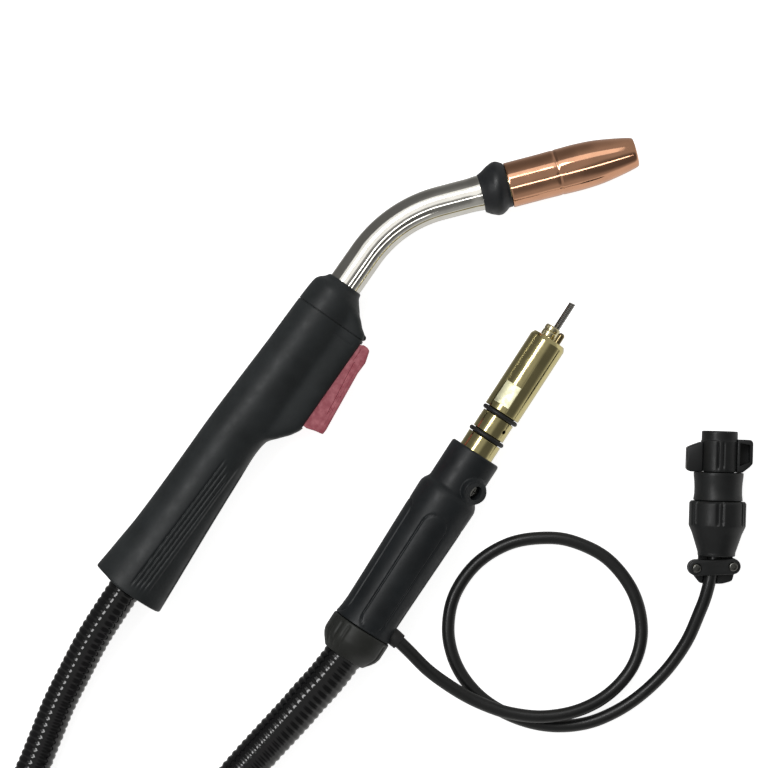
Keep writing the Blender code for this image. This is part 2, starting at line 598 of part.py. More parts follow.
def make_plug_shells(parent, plastic):
    """The barrel, the tapered backshell with its lower jaw and lip, and the clamp's upper jaw."""
    shell = ((32, 10), (32, 11.55), (40.6, 11.6), (41, 12.5), (44, 12.1), (48, 12.1), (54.9, 12.6),
             (54.9, 7.6), (65.4, 7.6), (65.8, 8.4), (67, 8.4), (67.4, 7.6), (74.2, 7.6),
             (74.2, 6.3), (50, 6.3), (50, 10))
    turned("plug_shell", shell, plastic, parent)
    backshell = ((12.6, 0), (12.6, 9.5), (16, 10.2), (24, 12.7), (27.8, 14.4), (39.8, 14.4),
                 (40.4, 13.6), (40.4, 11.9), (30, 11.9), (15, 7), (15, 0))
    body = turned("plug_backshell", backshell, plastic, parent, 20)
    lip = ((8, -10.5), (3, -9.1), (0.8, -8.6), (-0.1, -7.6), (-1.3, -3.5), (-1.6, 3), (-1.3, 7.8),
           (0, 8.9), (2, 10.7), (8, 12.8))
    fuse(body,
         plate("clamp_jaw", clamp_outline(), -5.2, -GAP, None, parent),
         plate("clamp_lip", lip, -5.1, -GAP - 0.1, None, parent),
         box("jaw_neck", (7, -6, -5.0), (14, 6.5, -GAP), None, parent))
    bar = plate("plug_cord_clamp", clamp_outline(), 0.1, 4.8, plastic, parent)
    cord_way = rod("cord_way", -16, 10, CORD_RADIUS + 0.5, parent, (0, 0, -CORD_WAY_TILT),
                   (*CORD_WAY_AT, 0), 16)
    cut(body, cord_way)
    cut(bar, cord_way)
    for side in (-1, 1):
        hole = rod(f"clamp_hole_{side}", -20, 20, 1.7, parent, (0, 90, 0), (*ear(side), 0), 8)
        cut(body, hole)
        cut(bar, hole)


def make_clamp_screws(parent, steel):
    outline = ((-4.9, 0), (-4.9, 1.4), (5.1, 1.4), (5.1, 2.6), (6.3, 2.5), (6.8, 1.8), (6.8, 0))
    for name, side in (("plug_clamp_screw_left", 1), ("plug_clamp_screw_right", -1)):
        turned(name, outline, steel, parent, 10, (*ear(side), 0), (0, -90, 0))


def make_plug_contacts(parent, plastic, gold):
    """Four sockets in an insulating insert."""
    insert = rod("plug_contact_insert", 50.4, INSERT_FACE, 6.0, parent, steps=16, material=plastic)
    for number in range(1, 5):
        angle = math.radians(90 * number - 45)
        at = (0, CONTACT_RING_RADIUS * math.cos(angle), CONTACT_RING_RADIUS * math.sin(angle))
        cut(insert, rod(f"contact_hole_{number}", 45, 70, 1.45, parent, at=at, steps=8))
        socket = ((46.5, 0.6), (46.5, 1.15), (INSERT_FACE - 0.4, 1.15), (INSERT_FACE - 0.4, 0.6))
        turned(f"plug_contact_{number}", socket, gold, parent, 8, at)


def make_coupling_ring(parent, plastic):
    """The ring that locks the plug: a hub that turns on the shell, with two wings."""
    hub = ((55.3, 7.95), (55.3, 9.4), (70.9, 9.4), (71.2, 9.1), (75.4, 9.1), (PLUG_MOUTH, 8.7),
           (PLUG_MOUTH, 7.95), (67.9, 7.95), (67.9, 8.75), (65.2, 8.75), (65.2, 7.95))
    ring = turned("plug_coupling_ring", hub, plastic, parent, 24)
    half = 4.7
    left = ((55.4, 8.6), (55.4, 15.8), (56.2, WING_RADIUS), (67.3, WING_RADIUS), (70.1, 9.8),
            (70.1, 8.6))
    right = ((55.5, 8.6), (55.5, 11.4), (59.8, WING_RADIUS), (70.6, WING_RADIUS), (71.8, 15.6),
             (71.8, 8.6))
    for turn, profile in ((0, left), (180, right)):
        rings = [[(along, radius, side) for along, radius in profile] for side in (-half, half)]
        wing = loft(f"wing_{turn}", rings, None, parent)
        wing.rotation_euler.x = math.radians(turn)
        fuse(ring, wing)


# ---------------------------------------------------------------- cables

def make_main_cable(conduit, guard_plastic, webbing):
    round_bar("main_cable_torch_side", smooth_route(TORCH_STRAND, CABLE_STEP),
              CABLE_RADIUS, conduit, None, 3)
    pin_side = smooth_route(PIN_END_STRAND, CABLE_STEP)
    round_bar("main_cable_pin_side", pin_side, CABLE_RADIUS, conduit, None, 3)
    swept("cable_guard", pin_side[-GUARD_POINTS:-1], 10.1, 8.95, guard_plastic, None, 16)
    coil_place = lay("coil", (*COIL_AT, 0), 0)
    inner = COIL_INNER_TURN - CABLE_RADIUS
    outer = COIL_INNER_TURN + CABLE_PITCH + CABLE_RADIUS
    ring = ((0, inner + 4), (0, outer - 4), (4, outer), (COIL_HEIGHT - 4, outer),
            (COIL_HEIGHT, outer - 4), (COIL_HEIGHT, inner + 4), (COIL_HEIGHT - 4, inner), (4, inner))
    turned("main_cable_coil", ring, conduit, coil_place, 32, turn=(0, -90, 0))
    for number, heading in enumerate(TIE_HEADINGS, 1):
        make_tie(f"coil_tie_{number}", heading, inner, outer, coil_place, webbing)


def make_tie(name, heading, inner, outer, parent, webbing):
    """A strap over the coil, its ends tucked under the lowest turns' sides."""
    thick, half_width = 1.8, 10.0
    low, high = inner - GAP - 1.2, outer + GAP + 0.6
    top = COIL_HEIGHT + GAP
    outline = ((low, 0.5), (low, top), (high, top), (high, 0.5), (high + thick, 0.5),
               (high + thick, top + thick), (low - thick, top + thick), (low - thick, 0.5))
    rings = [[(x, y, z) for x, z in outline] for y in (-half_width, half_width)]
    tie = loft(name, rings, webbing, parent)
    tie.rotation_euler.z = math.radians(heading)


def main():
    for old in list(bpy.data.objects):
        bpy.data.objects.remove(old)

    charcoal = look("charcoal_plastic", (0.035, 0.037, 0.038), 0.5)
    black = look("black_plastic", (0.02, 0.02, 0.021), 0.4)
    conduit = look("conduit_plastic", (0.012, 0.012, 0.012), 0.25)
    red = look("raspberry_plastic", (0.3, 0.07, 0.09), 0.5)
    rubber = look("black_rubber", (0.01, 0.01, 0.01), 0.6)
    white = look("white_nylon", (0.8, 0.8, 0.78), 0.4)
    chrome = look("chrome", (0.8, 0.79, 0.77), 0.1, 1)
    copper = look("copper", (0.75, 0.42, 0.3), 0.15, 1)
    brass = look("brass", (0.62, 0.52, 0.28), 0.2, 1)
    steel = look("steel", (0.5, 0.5, 0.5), 0.3, 1)
    webbing = look("webbing", (0.015, 0.015, 0.015), 0.9)

    torch = lay("torch", TORCH_AT, TORCH_HEADING)
    make_handle_shells(torch, charcoal)
    make_handle_screws(torch, steel)
    make_front_cap(torch, charcoal)
    make_trigger(torch, red)
    make_return_spring(torch, steel)
    make_switch(torch, black, white, rubber)
    make_handle_insides(torch, brass, rubber)
    make_neck(torch, chrome, white, copper, steel)

    nozzle_place = lay("nozzle", (0, 0, 0), -NECK_BEND)
    nozzle_place.parent = torch
    nozzle_place.location = Vector(neck_path(0, 0)[-1]) * MM
    make_nozzle_end(nozzle_place, copper, black, brass, steel)

    pin_end = lay("pin_end", PIN_END_AT, PIN_END_HEADING)
    make_power_pin(pin_end, brass, rubber, steel)
    make_rear_housing(pin_end, charcoal, steel)
    make_collar(pin_end, charcoal, rubber)

    make_main_cable(conduit, black, webbing)
    round_bar("control_cord", smooth_route(CORD_ROUTE, 2.4 * 2 * CORD_RADIUS), CORD_RADIUS,
              black, None, 2)

    plug = lay("plug", PLUG_AT, PLUG_HEADING)
    make_plug_shells(plug, black)
    make_clamp_screws(plug, steel)
    make_plug_contacts(plug, black, brass)
    make_coupling_ring(plug, black)


main()
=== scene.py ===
"""Looks for a gas-cooled MIG welding torch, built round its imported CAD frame.

Tables are in millimetres and degrees, as in the CAD. Each rigid assembly is drawn along its own
X axis and laid on the table by a place matrix, so that textures in object space run along it.
"""

import math

import bmesh
import bpy
import numpy as np
from mathutils import Matrix, Vector


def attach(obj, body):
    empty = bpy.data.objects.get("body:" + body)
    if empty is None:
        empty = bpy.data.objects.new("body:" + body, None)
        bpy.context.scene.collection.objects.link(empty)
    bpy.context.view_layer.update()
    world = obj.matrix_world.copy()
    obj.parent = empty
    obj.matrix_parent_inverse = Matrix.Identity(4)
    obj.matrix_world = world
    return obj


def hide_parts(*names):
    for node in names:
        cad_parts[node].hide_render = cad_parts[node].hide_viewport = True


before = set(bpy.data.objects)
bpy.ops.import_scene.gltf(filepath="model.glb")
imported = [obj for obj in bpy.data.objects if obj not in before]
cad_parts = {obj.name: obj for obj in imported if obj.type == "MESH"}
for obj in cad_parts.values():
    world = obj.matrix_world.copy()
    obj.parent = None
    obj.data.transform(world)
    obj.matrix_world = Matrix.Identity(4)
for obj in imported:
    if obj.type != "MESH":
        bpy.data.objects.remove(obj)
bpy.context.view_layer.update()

MM = 0.001


def lay(at, heading):
    """A place in millimetres, turned about +Z to a heading."""
    return Matrix.Translation(Vector(at)) @ Matrix.Rotation(math.radians(heading), 4, "Z")


# Where the camera and the assemblies are.
CAMERA_AT, CAMERA_LENS = (8.15, 10.4, 1632.0), 150.0
TORCH = lay((-10.8, 61.5, 17.0), 55.0)
PIN_END = lay((54.6, -24.1, 16.2), 57.0)
PLUG = lay((175.7, -89.2, 14.6), 88.3)
COIL_AT = (-165.7, -328.3, 0.0)

# Light: distances in metres, strengths as radiance.
LIGHT_DISTANCE = 2.5
FLOOR_GLOW = 0.85
ROOM_STRENGTH, HORIZON_STRENGTH = 0.36, 0.34

# Hand piece: u runs forwards along the neck, v towards its back, z out of its side.
HANDLE_REAR, SEAM = -190.5, -19.55
WALL = 2.4
HALF_GAP = 0.15
BACK_EDGE = ((-190.5, 21.5), (-171, 19.9), (-157, 18.8), (-126, 18.0), (-98, 17.8),
             (-73, 17.0), (-44, 15.9), (-20, 15.3), (-12, 14.9), (-7.5, 14.4), (-5, 13.0),
             (-3, 10.8), (-0.8, 9.4))
BELLY_EDGE = ((-190.5, -18.0), (-171, -16.7), (-157, -15.7), (-136, -14.3), (-112, -12.9),
              (-98, -12.1), (-90, -12.6), (-84, -17.0), (-78, -21.8), (-72.5, -24.1),
              (-21.7, -24.1), (-17.4, -23.5), (-14, -19.5), (-9.1, -14.9), (-5, -11.3),
              (-3, -9.9), (-0.8, -9.4))
ROUND_BOTTOM = (*BELLY_EDGE[:7], (-84, -14.2), (-9.5, -14.2), *BELLY_EDGE[-3:])
HALF_WIDTHS = ((-190.5, 16.8), (-157, 15.4), (-126, 14.6), (-100, 14.4), (-73, 14.6),
               (-20, 14.6), (-8, 13.2), (-5, 12.0), (-3, 10.5), (-0.8, 9.4))
KEEL_HALF_WIDTH = 10.2
SCREW_POSTS = ((-66, 10), (-77, -12), (-120, 11), (-160, -9.2))
TRIGGER_PIVOT = (-24.5, -17.0)
TRIGGER_HALF_WIDTH = 6.8
GRIP_GROOVES = (-7.45, -5.35, -3.2, -0.9)

# Neck and nozzle.
NECK_STRAIGHT, NECK_BEND_RADIUS, NECK_BEND, NECK_END = 17.2, 66.0, 40.3, 22.1
JACKET_BACK, JACKET_RADIUS, JACKET_BORE = -33, 8.6, 7.2
NOZZLE_BACK, NOZZLE_MOUTH, NOZZLE_BORE, SWAGE_AT = 13.7, 80.0, 10.35, 39.2

# Power-pin end.
PIN_RADIUS, PIN_SHOULDER = 9.7, 68.2
WRENCH_FLAT_TILTS = (-19, 161)
SET_SCREW_AT = (0, -3.9, 4.4)
O_RING_AT = {"o_ring_front": 22.4, "o_ring_rear": 9.7}
COLLAR_FRONT, COLLAR_REAR, COLLAR_RADIUS = -105.5, -122.6, 16.2
BOSS_AT, BOSS_TILT, BOSS_RADIUS, BOSS_HEIGHT = -17.3, 45.0, 7.0, 15.2
GAS_PORT_AT, GAS_PORT_TILT = 16.0, 45.0
CORD_EXIT_AT, CORD_EXIT_TILT = -98.6, 8.0
PANEL_AT, PANEL_HALF_LENGTH, PANEL_HALF_WIDTH, PANEL_CORNER = -70.5, 33.5, 6.7, 6.0
PANEL_TILTS = (10, 100, 190, 280)
HOUSING_RADIUS = 14.7

# Control plug.
PLUG_MOUTH, INSERT_FACE, CONTACT_RING_RADIUS = 75.8, 65.0, 3.1
WING_RADIUS, WING_HALF_WIDTH = 16.6, 4.7
CLAMP_AT, CLAMP_TILT = (7.2, 1.1), 4.0
EAR_SPACING, EAR_RADIUS = 9.2, 4.0
CORD_WAY_AT, CORD_WAY_TILT = (11.5, 1.0), 10.0

# Cables.
CABLE_RADIUS, CABLE_PITCH, CABLE_LENGTH = 8.5, 17.1, 3.0
RIB_PITCH = 3.45
RIB_RADII = (7.9, 8.35, 8.5, 8.35)
COIL_INNER_TURN = 76.5
COIL_START, COIL_EXIT, COIL_TURNS = 160.0, 30.0, 5
COIL_HEIGHT = 2 * CABLE_PITCH + 2 * CABLE_RADIUS
LAYER_CHANGE_AT, LAYER_CHANGE_EVERY, LAYER_CHANGE_TAKES = 268.0, 347.0, 45.0
GUARD_LENGTH, GUARD_PITCH, GUARD_STEP = 112.0, 3.6, 0.6
GUARD_RADIUS, GUARD_RIB, GUARD_BORE = 9.5, 0.6, 8.95
TIE_HEADINGS = (200.0, 320.0)
TIE_HALF_WIDTH, TIE_HALF_THICKNESS = 10, 0.85
TORCH_STRAND = ((-116.5, -84.2, 17.0), (-122.2, -92.4, 17.0), (-130.5, -104.7, 16.2),
                (-139.2, -118.4, 13.7), (-148.4, -135.5, 10.6), (-156.7, -151.9, 9.0),
                (-163.8, -169.2, 8.5), (-170.7, -185.8, 8.5), (-179.7, -202.8, 8.5),
                (-192.2, -220.8, 8.5), (-208.7, -239.3, 8.5), (-225.2, -256.8, 8.5),
                (-239.7, -274.8, 8.5))
PIN_END_STRAND = ((-91.5, -264.5, 42.0), (-93.9, -246.4, 39.5), (-91.5, -228.3, 33.0),
                  (-84.5, -211.4, 24.5), (-74.2, -197.8, 17.4), (-62.2, -183.8, 13.4),
                  (-50.8, -171.3, 11.9), (-42.9, -162.8, 12.0), (-35.8, -155.0, 12.8),
                  (-29.8, -148.0, 13.9), (-21.4, -138.6, 15.5), (-13.3, -128.2, 16.2),
                  (-8.3, -121.0, 16.2), (-3.4, -113.4, 16.2))
CORD_RADIUS = 3.25
CORD_ROUTE = ((6.9, -112.0, 16.2), (11.5, -116.0, 16.2), (16.0, -119.9, 16.2),
              (21.2, -125.0, 15.3), (31.4, -135.2, 13.0), (45.7, -145.3, 11.2), (58.3, -151.8, 10.2),
              (72.0, -156.4, 9.8), (89.3, -158.2, 9.6), (107.6, -154.9, 8.2),
              (123.4, -146.3, 5.3), (135.1, -132.4, 3.4), (139.3, -114.8, 3.25),
              (134.9, -95.5, 3.25), (122.3, -79.0, 3.25), (105.4, -70.1, 3.25),
              (90.1, -67.9, 3.25), (72.0, -70.8, 3.25), (55.4, -80.9, 3.25),
              (44.2, -96.7, 3.25), (40.8, -113.8, 3.25), (43.6, -129.2, 3.25),
              (51.0, -142.2, 3.25), (62.0, -152.5, 3.25), (77.4, -160.2, 3.25),
              (93.7, -163.6, 3.25), (110.2, -162.4, 3.25), (124.6, -157.0, 3.6),
              (138.3, -148.0, 4.6), (151.4, -135.1, 6.4), (161.5, -120.2, 9.3),
              (168.0, -104.7, 12.5), (170.5, -97.9, 13.7), (172.3, -91.1, 14.5),
              (173.1, -87.1, 14.6), (173.9, -83.1, 14.6), (174.7, -79.2, 14.6),
              (175.4, -76.2, 14.6))

# The nodes that move; every other one rides on the torch.
BODY_OF = {"trigger": "trigger", "trigger_return_spring": "trigger",
           "switch_plunger": "switch_plunger", "gas_nozzle": "nozzle",
           "plug_coupling_ring": "coupling_ring"}


# ---------------------------------------------------------------- meshes

def piece(name, points, faces, material, place=None, sharp=38):
    """A mesh that stands for the CAD node of that name; without a material it is a cutter."""
    mesh = bpy.data.meshes.new(name)
    mesh.from_pydata((np.asarray(points, float) * MM).tolist(), [], faces)
    work = bmesh.new()
    work.from_mesh(mesh)
    bmesh.ops.remove_doubles(work, verts=work.verts, dist=1e-7)
    bmesh.ops.recalc_face_normals(work, faces=work.faces)
    work.to_mesh(mesh)
    work.free()
    mesh.shade_smooth()
    mesh.set_sharp_from_angle(angle=math.radians(sharp))
    obj = bpy.data.objects.new(f"{name}_visual", mesh)
    bpy.context.scene.collection.objects.link(obj)
    if place:
        place = place.copy()
        place.translation *= MM
        obj.matrix_world = place
    if material:
        mesh.materials.append(material)
        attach(obj, BODY_OF.get(name, "torch"))
    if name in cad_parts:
        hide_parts(name)
    return obj


def tiles(rows, columns, wrap, first=0):
    """The quads of a grid of points, whose columns may close on themselves."""
    index = np.arange(rows * columns).reshape(rows, columns) + first
    after = np.roll(index, -1, axis=1)
    last = None if wrap else -1
    quads = (index[:-1, :last], after[:-1, :last], after[1:, :last], index[1:, :last])
    return np.stack(quads, axis=-1).reshape(-1, 4).tolist()


def skin(name, outer, material, place=None, inner=None, wrap=True, sharp=38):
    """A closed solid from a grid of points, or a wall between two grids with equal columns."""
    outer = np.asarray(outer, float)
    rows, columns, _ = outer.shape
    points = outer.reshape(-1, 3)
    faces = tiles(rows, columns, wrap)
    index = np.arange(rows * columns).reshape(rows, columns)
    if inner is None:
        faces += [index[end].tolist() for end in (0, -1)]
        return piece(name, points, faces, material, place, sharp)
    last = None if wrap else -1
    inner = np.asarray(inner, float)
    inner_index = np.arange(len(inner) * columns).reshape(-1, columns) + len(points)
    faces += tiles(len(inner), columns, wrap, len(points))
    for end in (0, -1):
        pair = np.stack([index[end], inner_index[end]])
        beside = np.roll(pair, -1, axis=1)
        strip = np.stack((pair[0, :last], beside[0, :last], beside[1, :last], pair[1, :last]), -1)
        faces += strip.tolist()
    if not wrap:
        for edge in (0, -1):
            faces.append(index[:, edge].tolist() + inner_index[::-1, edge].tolist())
    return piece(name, np.concatenate([points, inner.reshape(-1, 3)]), faces, material, place, sharp)


def rounded(outline, radius, steps=3, closed=True):
    """An outline with each corner replaced by a small arc."""
    points = [np.array(point, float) for point in outline]
    result = []
    for before, corner, after in zip(points[-1:] + points[:-1], points, points[1:] + points[:1]):
        back, ahead = before - corner, after - corner
        lengths = np.linalg.norm(back), np.linalg.norm(ahead)
        end = not closed and (corner is points[0] or corner is points[-1])
        straight = np.dot(back, ahead) / max(lengths[0] * lengths[1], 1e-9) < -0.985
        if end or straight or corner[-1] == 0:
            result.append(corner)
            continue
        start = corner + back * min(radius / lengths[0], 0.45)
        stop = corner + ahead * min(radius / lengths[1], 0.45)
        for t in np.linspace(0, 1, steps + 1):
            result.append((1 - t) ** 2 * start + 2 * t * (1 - t) * corner + t * t * stop)
    return result


def dense(outline, longest):
    """A closed outline with its long sides split."""
    result = []
    for one, other in zip(outline, [*outline[1:], outline[0]]):
        one, other = np.asarray(one, float), np.asarray(other, float)
        count = max(1, math.ceil(np.linalg.norm(other - one) / longest))
        result += [one + (other - one) * k / count for k in range(count)]
    return result


def lathe(name, outline, material, place=None, steps=72, edge=0.35, shape=None, longest=None,
          span=(0, 360), sharp=38):
    """Turns a closed outline of (along, radius) about the X axis.

    shape(along, radius, angle) may change the radius, with the angle from +Y towards +Z.
    """
    outline = rounded(outline, edge) if edge else outline
    outline = dense(outline, longest) if longest else outline
    ring = np.array([*outline, outline[0]], float)
    whole = span == (0, 360)
    angles = np.radians(np.linspace(*span, steps, endpoint=not whole))
    along = np.repeat(ring[:, :1], steps, axis=1)
    radius = np.repeat(ring[:, 1:], steps, axis=1)
    if shape:
        radius = shape(along, radius, np.degrees(angles)[None])
    grid = np.stack([along, radius * np.cos(angles), radius * np.sin(angles)], axis=-1)
    faces = tiles(len(ring), steps, whole)
    if not whole:
        index = np.arange(len(ring) * steps).reshape(-1, steps)[:-1]
        faces += [index[:, end].tolist() for end in (0, -1)]
    return piece(name, grid.reshape(-1, 3), faces, material, place, sharp)


def plate(name, outline, low, high, material, place=None, bevel=0.5):
    """An outline of (x, y) from z = low to z = high, with bevelled edges."""
    count = len(outline)
    points = [(x, y, z) for z in (low, high) for x, y in outline]
    faces = tiles(2, count, True) + [list(range(count)), list(range(count, 2 * count))]
    obj = piece(name, points, faces, material, place)
    if bevel:
        modifier = obj.modifiers.new("edges", "BEVEL")
        modifier.width = bevel * MM
        modifier.segments = 3
        modifier.angle_limit = math.radians(28)
        settle(obj)
    return obj


def settle(obj, sharp=38):
    """Applies an object's modifiers."""
    graph = bpy.context.evaluated_depsgraph_get()
    mesh = bpy.data.meshes.new_from_object(obj.evaluated_get(graph))
    obj.modifiers.clear()
    obj.data = mesh
    mesh.shade_smooth()
    mesh.set_sharp_from_angle(angle=math.radians(sharp))


def combine(obj, cutters, operation):
    """Joins or subtracts the cutters, whose cut faces keep their own material, if they have one."""
    for cutter in cutters:
        modifier = obj.modifiers.new("combine", "BOOLEAN")
        modifier.operation = operation
        modifier.object = cutter
        modifier.solver = "EXACT"
        modifier.material_mode = "TRANSFER"
    settle(obj)
    for cutter in cutters:
        bpy.data.objects.remove(cutter)


def rod(start, end, radius, place, steps=32, tip=None):
    """A cutter: a cylinder along X."""
    tip = radius if tip is None else tip
    outline = ((start, 0), (start, radius), (end, tip), (end, 0))
    return lathe("cutter", outline, None, place, steps, 0)


def block(x, y, z, place):
    """A cutter: a plain box between two limits along each axis."""
    outline = ((x[0], y[0]), (x[1], y[0]), (x[1], y[1]), (x[0], y[1]))
    return plate("cutter", outline, *z, None, place, 0)


def turn(axis, angle):
    """A rotation in degrees."""
    return Matrix.Rotation(math.radians(angle), 4, axis)


def shift(x, y=0.0, z=0.0):
    """A move in millimetres."""
    return Matrix.Translation((x, y, z))


def smooth_read(table, where):
    """Reads a table of (position, value) rows on a smooth curve that doesn't overshoot them."""
    at, value = np.array(table, float).T
    step = np.diff(at)
    slope = np.diff(value) / step
    turning = slope[:-1] * slope[1:] <= 0
    safe = np.where(slope == 0, 1.0, slope)
    weights = (2 * step[1:] + step[:-1]) / safe[:-1] + (step[1:] + 2 * step[:-1]) / safe[1:]
    middle = np.where(turning, 0, 3 * (step[:-1] + step[1:]) / np.where(turning, 1, weights))
    tangents = np.concatenate([slope[:1], middle, slope[-1:]])
    k = np.clip(np.searchsorted(at, where) - 1, 0, len(step) - 1)
    t = np.clip((where - at[k]) / step[k], 0, 1)
    return (value[k] * (1 + 2 * t) * (1 - t) ** 2 + tangents[k] * step[k] * t * (1 - t) ** 2
            + value[k + 1] * t * t * (3 - 2 * t) + tangents[k + 1] * step[k] * t * t * (t - 1))


def ease(x, low, high):
    """0 below low, 1 above high, smooth between."""
    t = np.clip((x - low) / (high - low), 0, 1)
    return t * t * (3 - 2 * t)


def band(x, start, full, fading, end):
    """0 outside start and end, 1 from full to fading, smooth between."""
    return ease(x, start, full) * (1 - ease(x, fading, end))


def hump(x, width):
    """1 at x = 0, falling smoothly to nothing within about two widths."""
    return np.exp(-(x / width) ** 2)


def apart(angle, other):
    """The signed difference of two angles, from -180 to 180 degrees."""
    return (angle - other + 180) % 360 - 180


def grooves(angle, middles, offsets, depth, width):
    """The change of radius for a groove at each offset from each middle, all in degrees."""
    places = [middle + offset for middle in middles for offset in offsets]
    return -depth * sum(hump(apart(angle, place), width) for place in places)


def spline(points, per=10):
    """A smooth curve through points."""
    knots = np.array(points, float)
    knots = np.concatenate([2 * knots[:1] - knots[1:2], knots, 2 * knots[-1:] - knots[-2:-1]])
    curve = []
    for before, start, end, after in zip(knots, knots[1:], knots[2:], knots[3:]):
        for t in np.arange(per) / per:
            curve.append(0.5 * (2 * start + (end - before) * t
                                + (2 * before - 5 * start + 4 * end - after) * t * t
                                + (3 * start - before - 3 * end + after) * t ** 3))
    return np.array([*curve, knots[-2]])


def resample(curve, spacing):
    """Evenly spaced points along a curve, and how far along it each is."""
    steps = np.linalg.norm(np.diff(curve, axis=0), axis=1)
    length = np.concatenate([[0], np.cumsum(steps)])
    count = max(2, round(length[-1] / spacing) + 1)
    wanted = np.linspace(0, length[-1], count)
    even = np.stack([np.interp(wanted, length, curve[:, axis]) for axis in range(3)], axis=1)
    return even, wanted


def tube(path, radii, sides):
    """A grid of rings round a path that never points straight up."""
    along = np.gradient(path, axis=0)
    across = np.cross(along, (0, 0, 1))
    across /= np.linalg.norm(across, axis=1)[:, None]
    upward = np.cross(across, along)
    upward /= np.linalg.norm(upward, axis=1)[:, None]
    angles = np.linspace(0, math.tau, sides, endpoint=False)[None, :, None]
    radii = np.broadcast_to(np.asarray(radii, float), (len(path), sides))[..., None]
    return path[:, None] + radii * (np.cos(angles) * across[:, None] + np.sin(angles) * upward[:, None])


def wound(start, end, radius, wire, pitch, per_turn=14, sides=8):
    """A grid for a wire wound round the X axis."""
    count = int((end - start) / pitch * per_turn)
    turns = np.arange(count + 1) / per_turn * math.tau
    zeros = np.zeros_like(turns)
    radial = np.stack([zeros, np.cos(turns), np.sin(turns)], axis=1)[:, None]
    middle = np.stack([start + turns / math.tau * pitch, zeros, zeros], axis=1)[:, None]
    around = np.linspace(0, math.tau, sides, endpoint=False)[None, :, None]
    forward = np.array([1.0, 0, 0])
    return middle + radial * (radius + wire * np.cos(around)) + forward * wire * np.sin(around)


# ---------------------------------------------------------------- materials

class Look:
    """A Principled material whose colour, roughness and bump are built up from noise."""

    def __init__(self, name, slot, color, roughness, metallic=0.0, **settings):
        self.material = bpy.data.materials.new(name)
        self.material["slot"] = slot
        self.material.use_nodes = True
        self.tree = self.material.node_tree
        self.shader = self.tree.nodes["Principled BSDF"]
        self.color, self.roughness = color, roughness
        self.set("Base Color", (*color, 1))
        self.set("Roughness", roughness)
        self.set("Metallic", metallic)
        for socket, value in settings.items():
            self.set(socket.replace("_", " "), value)
        self.height = None

    def set(self, socket, value):
        """Sets one of the shader's own inputs."""
        self.shader.inputs[socket].default_value = value

    def node(self, kind, **inputs):
        """A new node with these inputs."""
        made = self.tree.nodes.new(kind)
        for name, value in inputs.items():
            made.inputs[name.replace("_", " ")].default_value = value
        return made

    def link(self, source, target):
        self.tree.links.new(source, target)

    def place(self, stretch=(1, 1, 1)):
        """Object coordinates, stretched along the axes."""
        coords = self.tree.nodes.new("ShaderNodeTexCoord")
        mapping = self.node("ShaderNodeMapping", Scale=stretch)
        self.link(coords.outputs["Object"], mapping.inputs["Vector"])
        return mapping.outputs["Vector"]

    def noise(self, size, stretch=(1, 1, 1), detail=3.0, rough=0.55):
        """Noise whose grains are about size millimetres across."""
        made = self.node("ShaderNodeTexNoise", Scale=1000 / size, Detail=detail, Roughness=rough)
        self.link(self.place(stretch), made.inputs["Vector"])
        return made.outputs["Fac"]

    def spread(self, source, low, high, start=0.35, stop=0.65):
        """Maps a noise to a range of values."""
        ranged = self.node("ShaderNodeMapRange")
        for name, value in zip(("From Min", "From Max", "To Min", "To Max"), (start, stop, low, high)):
            ranged.inputs[name].default_value = value
        self.link(source, ranged.inputs["Value"])
        return ranged.outputs["Result"]

    def tint(self, source, other, start=0.35, stop=0.65):
        """Mixes the base colour towards another where the noise is high."""
        mix = self.tree.nodes.new("ShaderNodeMix")
        mix.data_type = "RGBA"
        sockets = {socket.identifier: socket for socket in mix.inputs}
        sockets["A_Color"].default_value = (*self.color, 1)
        sockets["B_Color"].default_value = (*other, 1)
        self.link(self.spread(source, 0, 1, start, stop), sockets["Factor_Float"])
        results = {socket.identifier: socket for socket in mix.outputs}
        self.link(results["Result_Color"], self.shader.inputs["Base Color"])
        return self

    def gloss(self, source, low, high, start=0.35, stop=0.65):
        """Lets the roughness follow the noise."""
        self.link(self.spread(source, low, high, start, stop), self.shader.inputs["Roughness"])
        return self

    def bump(self, source, depth):
        """Adds a bump of a depth in millimetres on top of the earlier ones."""
        made = self.node("ShaderNodeBump", Strength=1.0, Distance=depth * MM)
        self.link(source, made.inputs["Height"])
        if self.height:
            self.link(self.height, made.inputs["Normal"])
        self.height = made.outputs["Normal"]
        self.link(self.height, self.shader.inputs["Normal"])
        return self


# Plastics: slot, colour, roughness, size of grain and its depth in millimetres.
PLASTICS = {
    "charcoal": ("charcoal_plastic", (0.0165, 0.019, 0.020), 0.46, 0.35, 0.012),
    "housing": ("charcoal_plastic", (0.0105, 0.0125, 0.0140), 0.42, 0.3, 0.008),
    "collar": ("charcoal_plastic", (0.018, 0.019, 0.017), 0.45, 0.3, 0.008),
    "black": ("black_plastic", (0.0115, 0.0122, 0.0125), 0.38, 0.3, 0.006),
}

